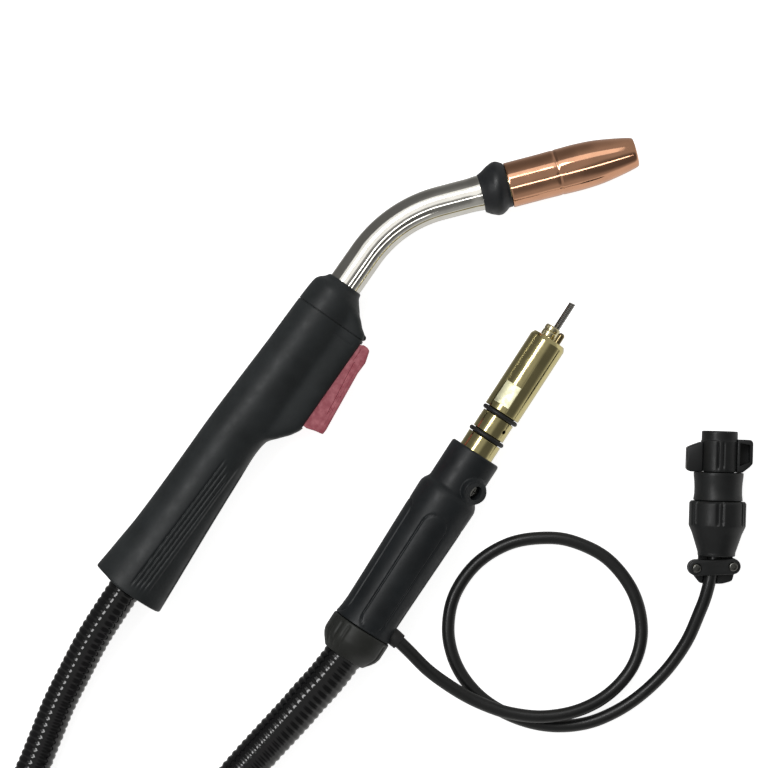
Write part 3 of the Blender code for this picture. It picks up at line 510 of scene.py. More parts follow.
# Metals: slot, colour, roughness, and the depths in millimetres of waves, of lines turned round the
# part and of streaks drawn along it.
METALS = {
    "chrome": ("chrome", (0.82, 0.80, 0.74), 0.075, 0.05, 0.0, 0.010),
    "nozzle_copper": ("copper", (0.83, 0.44, 0.27), 0.085, 0.03, 0.003, 0.0),
    "copper": ("copper", (0.78, 0.44, 0.31), 0.22, 0.0, 0.008, 0.0),
    "brass": ("brass", (0.76, 0.67, 0.33), 0.13, 0.012, 0.006, 0.0),
    "bright_brass": ("brass", (0.86, 0.78, 0.48), 0.25, 0.0, 0.01, 0.0),
    # Near-white brass for the wrench flats: a painted highlight, a pale copy of the brass that makes
    # the flats look evenly lit.
    "flat_highlight_brass": ("brass", (0.97, 0.95, 0.66), 0.42, 0.0, 0.004, 0.0),
    "dark_brass": ("brass", (0.30, 0.24, 0.12), 0.22, 0.0, 0.008, 0.0),
    "dark_steel": ("steel", (0.14, 0.14, 0.13), 0.16, 0.01, 0.0, 0.0),
    "zinc_steel": ("steel", (0.62, 0.62, 0.60), 0.24, 0.01, 0.006, 0.0),
    "spring_steel": ("steel", (0.33, 0.32, 0.30), 0.12, 0.0, 0.004, 0.0),
}


def make_materials():
    """Every material, by name."""
    made = {name: moulded_plastic(f"{name}_plastic_fine", *row) for name, row in PLASTICS.items()}
    made |= {name: polished_metal(f"{name}_fine", *row) for name, row in METALS.items()}
    for maker in (conduit, cord, raspberry, rubber, insulator, nylon, webbing):
        made[maker.__name__] = maker()
    return made


def moulded_plastic(name, slot, color, roughness, grain, depth):
    """Fine-grained moulded plastic with a slight sheen that varies."""
    look = Look(name, slot, color, roughness, Specular_IOR_Level=0.32)
    look.bump(look.noise(grain, detail=2.0), depth)
    look.bump(look.noise(9.0, detail=2.0), depth * 2)
    look.gloss(look.noise(6.0, detail=4.0), roughness - 0.05, roughness + 0.07)
    look.tint(look.noise(14.0, detail=5.0), [1.35 * c for c in color])
    return look.material


def conduit():
    """Glossy black plastic of the corrugated hose."""
    look = Look("conduit_plastic_fine", "conduit_plastic", (0.004, 0.004, 0.0045), 0.11,
                Specular_IOR_Level=0.6)
    look.gloss(look.noise(5.0, detail=4.0), 0.05, 0.13)
    look.bump(look.noise(2.2, detail=2.0), 0.012)
    return look.material


def cord():
    """The control cord's smooth jacket, a little uneven along its length."""
    look = Look("cord_jacket_fine", "black_rubber", (0.008, 0.0085, 0.0085), 0.3)
    look.gloss(look.noise(7.0, detail=4.0), 0.27, 0.4)
    look.bump(look.noise(0.6, detail=2.0), 0.006)
    look.bump(look.noise(25.0, detail=2.0), 0.08)
    return look.material


def raspberry():
    """The trigger's coarse, mottled plastic."""
    look = Look("raspberry_plastic_fine", "raspberry_plastic", (0.36, 0.075, 0.10), 0.42)
    look.bump(look.noise(0.9, detail=4.0), 0.03)
    look.bump(look.noise(3.5, detail=3.0), 0.05)
    look.gloss(look.noise(2.0, detail=4.0), 0.34, 0.56)
    look.tint(look.noise(3.2, detail=5.0), (0.52, 0.16, 0.19), 0.4, 0.7)
    return look.material


def rubber():
    """Dull black rubber of the seals, leads and grommets."""
    look = Look("black_rubber_fine", "black_rubber", (0.010, 0.010, 0.010), 0.5)
    look.bump(look.noise(0.4), 0.006)
    look.gloss(look.noise(3.0), 0.42, 0.58)
    return look.material


def insulator():
    """Phenolic resin, grained round the part."""
    look = Look("insulator_fine", "black_plastic", (0.0115, 0.013, 0.015), 0.44)
    look.bump(look.noise(0.8, (1, 0.5, 0.5), detail=4.0), 0.02)
    look.gloss(look.noise(3.0), 0.36, 0.52)
    return look.material


def nylon():
    """White nylon of the hidden sleeve and plunger."""
    look = Look("white_nylon_fine", "white_nylon", (0.78, 0.78, 0.74), 0.4,
                Subsurface_Weight=0.05)
    look.bump(look.noise(0.5), 0.004)
    look.gloss(look.noise(3.0), 0.34, 0.46)
    return look.material


def polished_metal(name, slot, color, roughness, waves, lathe_lines, streaks):
    """Metal with fine lines, either turned round it or drawn along it, and a slight waviness."""
    look = Look(name, slot, color, roughness, 1.0)
    look.gloss(look.noise(5.0, detail=5.0), roughness * 0.75, roughness * 1.5)
    if waves:
        look.bump(look.noise(14.0, (0.35, 1, 1), detail=1.0), waves)
    if lathe_lines:
        look.bump(look.noise(0.5, (1, 0.02, 0.02), detail=2.0), lathe_lines)
    if streaks:
        look.bump(look.noise(1.6, (0.06, 1, 1), detail=2.0), streaks)
    look.tint(look.noise(9.0, detail=4.0), [0.9 * c for c in color])
    return look.material


def webbing():
    """Black woven strap: crossed waves for the threads, and fuzz."""
    look = Look("webbing_fine", "webbing", (0.014, 0.014, 0.015), 0.85, Sheen_Weight=0.3)
    for direction in ("Y", "DIAGONAL"):
        wave = look.node("ShaderNodeTexWave", Scale=320.0, Distortion=1.2, Detail=2.0)
        wave.bands_direction = direction
        look.link(look.place(), wave.inputs["Vector"])
        look.bump(wave.outputs["Fac"], 0.18)
    look.bump(look.noise(0.3, detail=4.0), 0.08)
    look.gloss(look.noise(1.0), 0.75, 0.95)
    look.tint(look.noise(1.5, detail=4.0), (0.032, 0.032, 0.034))
    return look.material


# ---------------------------------------------------------------- camera, light, floor

def make_camera():
    """Straight above the table, looking down."""
    data = bpy.data.cameras.new("camera")
    data.lens = CAMERA_LENS
    data.sensor_width = 36.0
    data.clip_end = 50.0
    camera = bpy.data.objects.new("camera", data)
    camera.location = Vector(CAMERA_AT) * MM
    bpy.context.scene.collection.objects.link(camera)
    bpy.context.scene.camera = camera


def direction(azimuth, elevation):
    """A unit vector from two angles in degrees."""
    a, e = math.radians(azimuth), math.radians(elevation)
    return Vector((math.cos(a) * math.cos(e), math.sin(a) * math.cos(e), math.sin(e)))


def make_world():
    """A grey room: dark on the left and over the lower right, light along that side's horizon."""
    world = bpy.data.worlds.new("room")
    bpy.context.scene.world = world
    world.use_nodes = True
    tree = world.node_tree
    coords = tree.nodes.new("ShaderNodeTexCoord").outputs["Generated"]

    def math_node(operation, one, other):
        made = tree.nodes.new("ShaderNodeMath")
        made.operation = operation
        for socket, value in zip(made.inputs, (one, other)):
            if isinstance(value, float):
                socket.default_value = value
            else:
                tree.links.new(value, socket)
        return made.outputs["Value"]

    def lobe(toward, start, stop, low, high):
        """From low to high as the cosine of the angle to a direction goes from start to stop."""
        facing = tree.nodes.new("ShaderNodeVectorMath")
        facing.operation = "DOT_PRODUCT"
        facing.inputs[1].default_value = toward
        tree.links.new(coords, facing.inputs[0])
        ranged = tree.nodes.new("ShaderNodeMapRange")
        ranged.interpolation_type = "SMOOTHSTEP"
        for name, number in zip(("From Min", "From Max", "To Min", "To Max"), (start, stop, low, high)):
            ranged.inputs[name].default_value = number
        tree.links.new(facing.outputs["Value"], ranged.inputs["Value"])
        return ranged.outputs["Result"]

    left = lobe(direction(140, -5), 0.45, 0.85, 1.0, 0.36)
    overhead = lobe(direction(-33, 45), 0.76, 0.95, 1.0, 0.3)
    horizon = math_node("MULTIPLY", lobe(direction(-50, 0), -0.1, 0.6, 0.0, HORIZON_STRENGTH),
                        lobe(direction(0, -90), -0.2, -0.02, 0.0, 1.0))
    room = math_node("MULTIPLY", math_node("MULTIPLY", left, overhead), ROOM_STRENGTH)
    background = tree.nodes["Background"]
    background.inputs["Color"].default_value = (1.0, 0.99, 0.97, 1)
    tree.links.new(math_node("ADD", room, horizon), background.inputs["Strength"])


def make_light(name, azimuth, from_zenith, size, radiance, heading, receivers=()):
    """A soft area light, its size in metres, which shines on everything or only on the receivers."""
    data = bpy.data.lights.new(name, "AREA")
    data.shape = "RECTANGLE"
    data.size, data.size_y = size
    data.energy = radiance * math.pi * size[0] * size[1]
    light = bpy.data.objects.new(name, data)
    toward = direction(azimuth, 90 - from_zenith)
    side = direction(heading, 0)
    side = (side - toward * side.dot(toward)).normalized()
    light.matrix_world = Matrix((side, toward.cross(side), toward)).transposed().to_4x4()
    light.location = toward * LIGHT_DISTANCE
    light.visible_camera = False
    bpy.context.scene.collection.objects.link(light)
    if receivers:
        lit = bpy.data.collections.new(name + "_receivers")
        for receiver in receivers:
            lit.objects.link(receiver)
        light.light_linking.receiver_collection = lit


def make_floor():
    """A plain white floor that glows a little, so that it stays pale under the shadows."""
    mesh = bpy.data.meshes.new("floor")
    half = 15.0
    mesh.from_pydata([(-half, -half, 0), (half, -half, 0), (half, half, 0), (-half, half, 0)], [],
                     [(0, 1, 2, 3)])
    look = Look("floor", "", (0.8, 0.8, 0.8), 0.9)
    look.set("Emission Color", (1, 1, 1, 1))
    look.set("Emission Strength", FLOOR_GLOW)
    mesh.materials.append(look.material)
    floor = bpy.data.objects.new("floor", mesh)
    floor.location.z = -0.0002
    floor.visible_glossy = False
    bpy.context.scene.collection.objects.link(floor)


def make_studio():
    """The room, its one light for everything, and the floor."""
    bpy.context.scene.view_settings.view_transform = "Standard"
    make_world()
    make_light("side_light", 142, 28, (2.2, 0.5), 7.5, 50)
    make_floor()


def light_the_metal():
    """Lights for the neck and nozzle alone, and one for everything but the pin's brass body."""
    neck = [bpy.data.objects["neck_jacket_visual"]]
    nozzle = [bpy.data.objects["gas_nozzle_visual"]]
    others = [obj for obj in bpy.context.scene.objects
              if obj.type in {"MESH", "CURVE"} and obj.name != "power_pin_body_visual"]
    make_light("soft_box", 105, 41, (2.8, 1.1), 0.8, 15, others)
    make_light("top_light", -75, 19, (3.4, 0.2), 5.0, 15, neck + nozzle)
    make_light("neck_box", 147, 14, (2.4, 1.5), 0.75, 57, neck)
    make_light("neck_strip", -33, 50, (2.4, 0.25), 3.0, 57, neck)


# ---------------------------------------------------------------- cables

def coil_turns():
    """The coiled length, wound a layer at a time: outer, inner, up, and out again."""
    sweep = COIL_EXIT - COIL_START + 360 * COIL_TURNS
    points = []
    for swept in np.arange(0, sweep + 1, 10.0):
        starts = [LAYER_CHANGE_AT + LAYER_CHANGE_EVERY * k for k in range(4)]
        moved = [ease(swept, start, start + LAYER_CHANGE_TAKES) for start in starts]
        radius = COIL_INNER_TURN + CABLE_PITCH * (1 - moved[0] + moved[2])
        height = CABLE_RADIUS + CABLE_PITCH * (moved[1] + moved[3])
        angle = math.radians(COIL_START + swept)
        points.append((COIL_AT[0] + radius * math.cos(angle),
                       COIL_AT[1] + radius * math.sin(angle), height))
    return points


def make_main_cable(looks):
    """The ribbed conduit, one length from the hand piece through the coil to the collar."""
    curve = spline([*TORCH_STRAND, *coil_turns(), *PIN_END_STRAND])
    path, _ = resample(curve, RIB_PITCH / len(RIB_RADII))
    rib = np.resize(RIB_RADII, len(path))
    cable = skin("main_cable", tube(path, rib[:, None], 20), looks["conduit"], sharp=80)
    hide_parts("main_cable_torch_side", "main_cable_coil", "main_cable_pin_side")
    guard = make_guard(resample(curve[::-1], GUARD_STEP)[0], looks["conduit"])
    ties = [make_tie(f"coil_tie_{number}", heading, looks["webbing"])
            for number, heading in enumerate(TIE_HEADINGS, 1)]


def make_guard(path, material):
    """A spiral-ribbed sleeve over the cable where it enters the collar."""
    path = path[3:int(GUARD_LENGTH / GUARD_STEP)]
    sides = 48
    along = np.arange(len(path))[:, None] * GUARD_STEP
    turns = np.arange(sides)[None] / sides
    wave = 0.5 - 0.5 * np.cos(math.tau * (along / GUARD_PITCH - turns))
    outer = tube(path, GUARD_RADIUS + GUARD_RIB * wave ** 0.7, sides)
    inner = tube(path[::8], GUARD_BORE, sides)
    return skin("cable_guard", outer, material, inner=inner, sharp=80)


def make_tie(name, heading, material):
    """A woven strap over the coil."""
    low = COIL_INNER_TURN - CABLE_RADIUS - 1.9
    high = COIL_INNER_TURN + CABLE_PITCH + CABLE_RADIUS + 1.3
    foot, top = 0.6, COIL_HEIGHT + 1.1
    corners = ((low, foot), (low, top), (high, top), (high, foot))
    path = np.array(rounded(corners, 7.0, 8, closed=False))
    path = resample(np.stack([path[:, 0], 0 * path[:, 0], path[:, 1]], axis=1), 1.2)[0]
    along = np.gradient(path, axis=0)
    along /= np.linalg.norm(along, axis=1)[:, None]
    normal = np.stack([-along[:, 2], 0 * along[:, 0], along[:, 0]], axis=1)
    angles = np.linspace(0, math.tau, 40, endpoint=False)
    across = TIE_HALF_WIDTH * np.sign(np.cos(angles)) * np.abs(np.cos(angles)) ** 0.25
    thick = TIE_HALF_THICKNESS * np.sign(np.sin(angles)) * np.abs(np.sin(angles)) ** 0.5
    grid = (path[:, None] + np.stack([0 * across, across, 0 * across], axis=1)[None]
            + normal[:, None] * thick[None, :, None])
    return skin(name, grid, material, shift(*COIL_AT) @ turn("Z", heading), sharp=60)


def make_control_cord(looks):
    """The thin cord from the housing, once round, to the plug."""
    path, along = resample(spline(CORD_ROUTE), 1.5)
    jacket = skin("control_cord", tube(path, CORD_RADIUS, 28), looks["cord"], sharp=80)


# ---------------------------------------------------------------- hand piece

def hand_grid(stations, insets, angles):
    """Points on the hand piece's outline: an oval and, above the trigger, a narrower keel."""
    u = np.asarray(stations, float)[:, None] + 0 * angles[None]
    inset = np.asarray(insets, float)[:, None] + 0 * u
    back = smooth_read(BACK_EDGE, u) - inset
    belly = smooth_read(BELLY_EDGE, u) + inset
    bottom = smooth_read(ROUND_BOTTOM, u) + inset
    width = smooth_read(HALF_WIDTHS, u) - inset
    middle, height = (back + bottom) / 2, (back - bottom) / 2
    down, side = -np.cos(angles)[None] + 0 * u, np.sin(angles)[None] + 0 * u
    reach = 1 / np.hypot(down / height, side / width)
    keel_side = KEEL_HALF_WIDTH - inset
    keel = ((np.abs(down) / (middle - belly)) ** 6 + (np.abs(side) / keel_side) ** 6) ** (-1 / 6)
    joined = (reach ** 16 + keel ** 16) ** (1 / 16)
    share = band(u, -94, -84, -12, -7) * (down > 0)
    reach = reach + share * (joined - reach)
    return np.stack([u, middle - down * reach, side * reach], axis=-1)


def hand_relief(u, v):
    """What the grip's side adds to its plain surface: four grooves, a step and a short slot."""
    depth = 0 * u
    run = band(-u, 106, 113, 180, 187)
    drift = 0.0315 * (-120 - u)
    for number, groove in enumerate(GRIP_GROOVES):
        reach = ease(-u, 104 + 3 * (3 - number), 109 + 3 * (3 - number))
        depth -= 0.62 * hump(v - groove - drift, 0.5) * run * reach
    depth -= 1.0 * ease(-(v - drift * 0.45), 8.6, 9.5) * run
    slot = band(v, -21.6, -20.4, -9.6, -7.6)
    depth -= 0.75 * hump(u + 24.2, 0.55) * slot
    return depth


def ring_of(u, radius, middle_v, angles):
    """A round hole's edge, with a point for each angle."""
    return np.stack([0 * angles + u, middle_v + radius * np.cos(angles), radius * np.sin(angles)], -1)


def make_handle_shells(looks):
    """Two half shells, with the opening for the trigger and screw recesses underneath."""
    angles = np.linspace(0, math.pi, 210)
    fillet = ((0.0, 0.75), (0.12, 0.42), (0.35, 0.2), (0.75, 0.0))
    body = np.arange(HANDLE_REAR + 1.5, SEAM - 1.0, 1.15)
    rear = [(HANDLE_REAR + along, inset) for along, inset in fillet]
    front = [(SEAM - HALF_GAP - 0.3 * along, 0.3 * inset) for along, inset in reversed(fillet)]
    stations, insets = np.array([*rear, *((u, 0.0) for u in body), *front]).T
    for name, half in (("handle_shell_upper", 1), ("handle_shell_lower", -1)):
        outer = hand_grid(stations, insets, angles)
        outer[..., 2] += hand_relief(outer[..., 0], outer[..., 1]) * (outer[..., 2] > 3)
        # The rear face slants forwards towards the back.
        outer[..., 0] += 1.5 * ease(-outer[..., 0], 178, 190) * ease(outer[..., 1], 6, 19)
        inside = np.arange(HANDLE_REAR + 3.5, SEAM - 0.5, 6.0)
        inner = hand_grid([*inside, SEAM - HALF_GAP], [WALL] * (len(inside) + 1), angles)
        bore = [ring_of(u, 11.3, 3.0, angles) for u in (HANDLE_REAR, HANDLE_REAR + 3.5)]
        inner = np.concatenate([bore, inner])
        for grid in (outer, inner):
            grid[..., 2] = half * np.maximum(grid[..., 2], HALF_GAP)
        shell = skin(name, outer, looks["charcoal"], TORCH, inner, wrap=False)
        cutters = [block((-72.9, -21.3), (-32, -13.5), (-7.2, 7.2), TORCH)]
        if half < 0:
            cutters += [rod(-25, -6.9, 2.9, TORCH @ shift(u, v) @ turn("Y", -90))
                        for u, v in SCREW_POSTS]
        combine(shell, cutters, "DIFFERENCE")


def make_handle_screws(looks):
    """Cross-head screws, driven from underneath."""
    outline = ((-9.3, 0), (-9.3, 1.9), (-8.7, 2.4), (-7.3, 2.4), (-7.3, 1.2), (6, 1.2), (6, 0))
    for number, (u, v) in enumerate(SCREW_POSTS, 1):
        place = TORCH @ shift(u, v) @ turn("Y", -90)
        screw = lathe(f"handle_screw_{number}", outline, looks["zinc_steel"], place, 32, 0.15)
        combine(screw, cross(place @ shift(-9.3), 1.5, 0.45, 1.0), "DIFFERENCE")


def cross(place, reach, width, depth):
    """Two cutters for a cross recess in a screw head at x = 0."""
    half = width / 2
    return [block((-depth, depth), (-long, long), (-short, short), place)
            for long, short in ((reach, half), (half, reach))]


def make_front_cap(looks):
    """The tapering nose that closes the shells round the neck, with its trigger stop."""
    angles = np.linspace(0, math.tau, 192, endpoint=False)
    spigot, start = SEAM - 1.5, SEAM + HALF_GAP
    edge = ((0.0, 0.25), (0.08, 0.1), (0.22, 0.0))
    rim = ((-1.4, 0.0), (-1.1, 0.1), (-0.9, 0.25), (-0.8, 0.45))
    body = np.arange(SEAM + 0.8, -1.8, 0.6)
    rows = [(spigot, WALL + 0.3), (SEAM - 0.6 * HALF_GAP, WALL + 0.3), (SEAM - 0.6 * HALF_GAP, 0.5),
            (start, 0.5), *((start + along, inset) for along, inset in edge),
            *((u, 0.0) for u in body), *rim]
    stations, insets = np.array(rows).T
    outer = hand_grid(stations, insets, angles)
    hollow = hand_grid([spigot, -16.5], [4.0, 4.0], angles)
    bore = [ring_of(u, JACKET_RADIUS + 0.3, 0, angles) for u in (-10, -0.8)]
    cap = skin("handle_front_cap", outer, looks["charcoal"], TORCH, np.concatenate([hollow, bore]))
    stop = lathe("cutter", ((-5, 0), (-5, 1.5), (5, 1.5), (5, 0)), None,
                 TORCH @ shift(-18.0, -22.9) @ turn("Y", 90), 24, 0.5)
    combine(cap, [stop], "UNION")


def make_trigger(looks):
    """The trigger: bevelled, with three grooves on each side and a boss for its pivot."""
    pivot_u, pivot_v = TRIGGER_PIVOT
    boss = [(pivot_u + 2.9 * math.cos(a), pivot_v + 2.9 * math.sin(a))
            for a in np.radians(np.arange(180, -1, -15))]
    outline = [(-21.7, -24.2), (-20.8, -25.2), (-20.8, -27.8), (-21.6, -29.3), (-24.0, -30.0),
               (-27.8, -31.1), (-34.3, -30.9), (-57.1, -33.2), (-66.7, -34.2), (-69.4, -34.1),
               (-70.2, -30.0), (-71.6, -25.6), (-71.2, -20.9), (-41.6, -20.9), (-41.6, -17.6),
               (-38.4, -17.6), (-38.4, -20.9), (-28.2, -20.9), *boss]
    trigger = plate("trigger", outline, -TRIGGER_HALF_WIDTH, TRIGGER_HALF_WIDTH,
                    looks["raspberry"], TORCH, 0.55)
    grooves = [((-30.5, -26.5), (-60.0, -30.4), 0.42), ((-23.3, -25.5), (-30.3, -25.6), 0.3),
               ((-24.5, -28.6), (-66.0, -32.2), 0.2)]
    cutters = []
    for (u0, v0), (u1, v1), radius in grooves:
        heading = math.degrees(math.atan2(v1 - v0, u1 - u0))
        length = math.hypot(u1 - u0, v1 - v0)
        for side in (-1, 1):
            place = TORCH @ shift(u0, v0, side * TRIGGER_HALF_WIDTH) @ turn("Z", heading)
            cutters.append(rod(0, length, radius, place, 12))
    cutters.append(rod(-20, 20, 1.45, TORCH @ shift(pivot_u, pivot_v) @ turn("Y", 90)))
    cutters.append(block((-28.3, -20), (-20.4, -13), (-2.7, 2.7), TORCH))
    combine(trigger, cutters, "DIFFERENCE")
    lathe("trigger_pivot_pin", ((-8.6, 0), (-8.6, 1.25), (8.6, 1.25), (8.6, 0)), looks["zinc_steel"],
          TORCH @ shift(pivot_u, pivot_v) @ turn("Y", 90), 32, 0.2)


def make_ferrule(looks):
    """The rubber ring between the hand piece's rear and the cable."""
    outline = ((-190.5, 8.9), (-190.5, 11), (-186.7, 11), (-186.7, 13), (-178, 13), (-178, 8.9))
    lathe("handle_cable_ferrule", outline, looks["rubber"], TORCH @ shift(0, 3), 64, 0.4)


# ---------------------------------------------------------------- neck and nozzle

def neck_path(back, bend_steps=60):
    """The neck's centre line from u = back to its end."""
    points = [(u, 0, 0) for u in np.arange(back, NECK_STRAIGHT, 2.0)]
    for angle in np.radians(np.linspace(0, NECK_BEND, bend_steps)):
        points.append((NECK_STRAIGHT + NECK_BEND_RADIUS * math.sin(angle),
                       NECK_BEND_RADIUS * (math.cos(angle) - 1), 0))
    bend = math.radians(NECK_BEND)
    end = np.array(points[-1])
    along = np.array((math.cos(bend), -math.sin(bend), 0))
    tail = [end + along * step for step in (*np.arange(1, NECK_END - 1, 1.0), NECK_END - 0.7,
                                            NECK_END - 0.3, NECK_END)]
    return np.array([*points, *tail], float)


def make_neck(looks):
    """The polished tube round the neck, flared a little where the insulator begins."""
    path = neck_path(JACKET_BACK)
    left = np.linalg.norm(path - path[-1], axis=1)
    radii = JACKET_RADIUS + 0.35 * (1 - ease(left, 0.5, 7.0)) - 0.25 * (1 - ease(left, 0.0, 0.45))
    outer = tube(path, radii[:, None], 96)
    inner = tube(path[[0, *range(4, len(path), 4), -1]], JACKET_BORE, 96)
    skin("neck_jacket", outer, looks["chrome"], TORCH, inner)


def swage_marks(along, radius, angle):
    """Slight unevenness where the nozzle's tube was pressed."""
    wobble = np.sin(np.radians(3 * angle + 40)) + 0.7 * np.sin(np.radians(7 * angle + 200))
    return radius + 0.055 * wobble * hump(along - SWAGE_AT - 1.0, 2.6) * (radius > NOZZLE_BORE + 0.3)


def insulator_shape(along, radius, angle):
    """The insulator's waist, crown and neck, pressed on a little askew."""
    profile = ((-2.0, 9.1), (-1.2, 9.4), (0.5, 10.2), (3.0, 11.8), (5.0, 12.75), (6.9, 13.45),
               (8.2, 13.5), (9.3, 13.2), (11.0, 12.25), (13.2, 10.9), (15.0, 10.9))
    askew = smooth_read(profile, along - 1.3 * np.cos(np.radians(angle)))
    return np.minimum(radius, askew)


def make_nozzle_end(looks):
    """The insulator, the swaged nozzle, and the tip, diffuser and holder inside it."""
    end = neck_path(0)[-1]
    place = TORCH @ shift(*end) @ turn("Z", -NECK_BEND)
    outline = ((-0.6, 8.95), (-0.6, 14), (13.4, 14), (13.4, 6.9), (0.3, 6.9), (0.3, 8.95))
    lathe("nozzle_insulator", outline, looks["insulator"], place, 96, 0.2, insulator_shape, 0.6,
          sharp=50)
    back = spline(((14.3, 11.5), (20, 11.5), (30, 11.5), (38.0, 11.6)), 12)
    front = spline(((40.2, 11.65), (46, 11.75), (52, 11.7), (60, 11.2), (68, 10.0), (74, 8.85),
                    (77.9, 7.95)), 14)
    rim = ((79.1, 7.6), (79.8, 7.2), (NOZZLE_MOUTH, 6.8), (79.8, 6.45))
    bore = ((79, 6.3), (70, 7.7), (60, 9.3), (52, 10.2), (46, NOZZLE_BORE), (NOZZLE_BACK, NOZZLE_BORE))
    wall = [(NOZZLE_BACK, 11.1), (13.85, 11.35), *back, (38.8, 11.5), (SWAGE_AT, 11.35),
            (39.6, 11.45), *front, *rim, *bore]
    lathe("gas_nozzle", wall, looks["nozzle_copper"], place, 96, 0, swage_marks)
    tip = ((42, 0.6), (42, 3), (50.3, 3), (50.3, 4), (72, 4), (73.5, 2.6), (73.5, 0.6))
    lathe("contact_tip", tip, looks["copper"], place, 48, 0.2)
    diffuser = ((6.3, 2.4), (6.3, 6.5), (36, 6.5), (50, 5.6), (50, 3.3), (40, 3.3), (40, 2.4))
    body = lathe("gas_diffuser", diffuser, looks["brass"], place, 48, 0.3)
    combine(body, [rod(-9, 9, 1.0, place @ shift(37.8) @ turn("X", angle) @ turn("Z", 90), 16)
                   for angle in (0, 90)], "DIFFERENCE")
    holder = ((14, 6.8), (14, 10), (23.5, 10), (23.5, 9.1), (26.5, 9.1), (26.5, 10), (32, 10),
              (33, 9.4), (33, 6.8))
    lathe("nozzle_holder", holder, looks["black"], place, 64, 0.3)


# ---------------------------------------------------------------- power-pin end

def make_power_pin(looks):
    """The brass plug, its seals, its gas hole, its guide and the liner through it."""
    outline = ((-30, 3), (-30, 8.4), (-12, 8.4), (-12, 9.2), (8.2, 9.2), (8.2, 7.4), (11.2, 7.4),
               (11.2, 8.7), (20.9, 8.7), (20.9, 7.4), (23.9, 7.4), (23.9, PIN_RADIUS),
               (66.2, PIN_RADIUS), (PIN_SHOULDER, 8.6), (PIN_SHOULDER, 3.3), (49, 3.3), (49, 3))
    pin = lathe("power_pin_body", outline, looks["brass"], PIN_END, 96, 0.3)
    cutters = [block((27.1, 39.2), (-9, 9), (8.65, 15), PIN_END @ turn("X", angle))
               for angle in WRENCH_FLAT_TILTS]
    # The flats' cut faces take the near-white brass, a painted highlight.
    for cutter in cutters:
        cutter.data.materials.append(looks["flat_highlight_brass"])
    cutters.append(rod(1, 12, 1.1, PIN_END @ shift(GAS_PORT_AT) @ turn("X", GAS_PORT_TILT)
                       @ turn("Y", -90)))
    screw_place = PIN_END @ shift(*SET_SCREW_AT)
    cutters.append(rod(61, 75, 2.05, screw_place))
    combine(pin, cutters, "DIFFERENCE")
    screw = lathe("liner_set_screw", ((61.5, 0), (61.5, 1.75), (72.8, 1.75), (73.8, 1), (73.8, 0)),
                  looks["dark_brass"], screw_place, 32, 0.3)
    combine(screw, [block((72.6, 75), (-3, 3), (-0.3, 0.3), screw_place)], "DIFFERENCE")
    for name, along in O_RING_AT.items():
        ring = [(along + 1.15 * math.cos(angle), 8.85 + 1.15 * math.sin(angle))
                for angle in np.linspace(0, math.tau, 16, endpoint=False)]
        lathe(name, ring, looks["rubber"], PIN_END, 72, 0)
    nipple = lathe("power_pin_nipple", ((50, 0), (50, 3), (70, 3), (70, 0)), looks["bright_brass"],
                   PIN_END, 48, 0.1)
    head = lathe("cutter", ((68.6, 0), (68.6, 4), (71.0, 4), (71.5, 3.7), (72.0, 4), (73.9, 4),
                            (74.5, 3.4), (74.5, 0)), None, PIN_END @ shift(0, 1.5), 48, 0.15)
    combine(nipple, [head], "UNION")
    combine(nipple, [rod(45, 80, 2.1, PIN_END)], "DIFFERENCE")
    skin("machine_end_liner", wound(-28, 89.3, 1.35, 0.45, 0.95), looks["spring_steel"], PIN_END)


def panel_outline(along, middle, around):
    """How far a point on the housing is from the outline of a finger panel, in millimetres."""
    x = np.abs(along - PANEL_AT) - (PANEL_HALF_LENGTH - PANEL_CORNER)
    arc = np.radians(np.abs(apart(around, middle))) * HOUSING_RADIUS
    y = arc - (PANEL_HALF_WIDTH - PANEL_CORNER)
    outside = np.hypot(np.maximum(x, 0), np.maximum(y, 0)) + np.minimum(np.maximum(x, y), 0)
    return outside - PANEL_CORNER


def housing_shape(along, radius, angle):
    """Finger panels, the screw boss and slight facets on the rear housing."""
    outer = radius > 12.0 + 0 * along
    from_top = angle - 90  # towards the right of the pin
    change = 0 * radius
    for middle in PANEL_TILTS:
        distance = panel_outline(along, middle, from_top)
        change = change - 0.55 * hump(distance, 0.42) + 0.12 * (1 - ease(distance, -6, 0))
    away = np.radians(apart(from_top, BOSS_TILT))
    across = np.hypot(along - BOSS_AT, radius * np.sin(away))
    facing = np.cos(away) > 0.3
    flat = BOSS_HEIGHT / np.maximum(np.cos(away), 0.3)
    inside = 1 - ease(across, BOSS_RADIUS - 0.9, BOSS_RADIUS + 0.7)
    boss = np.maximum(flat - radius, 0) * inside * facing
    return radius + outer * (change + boss)


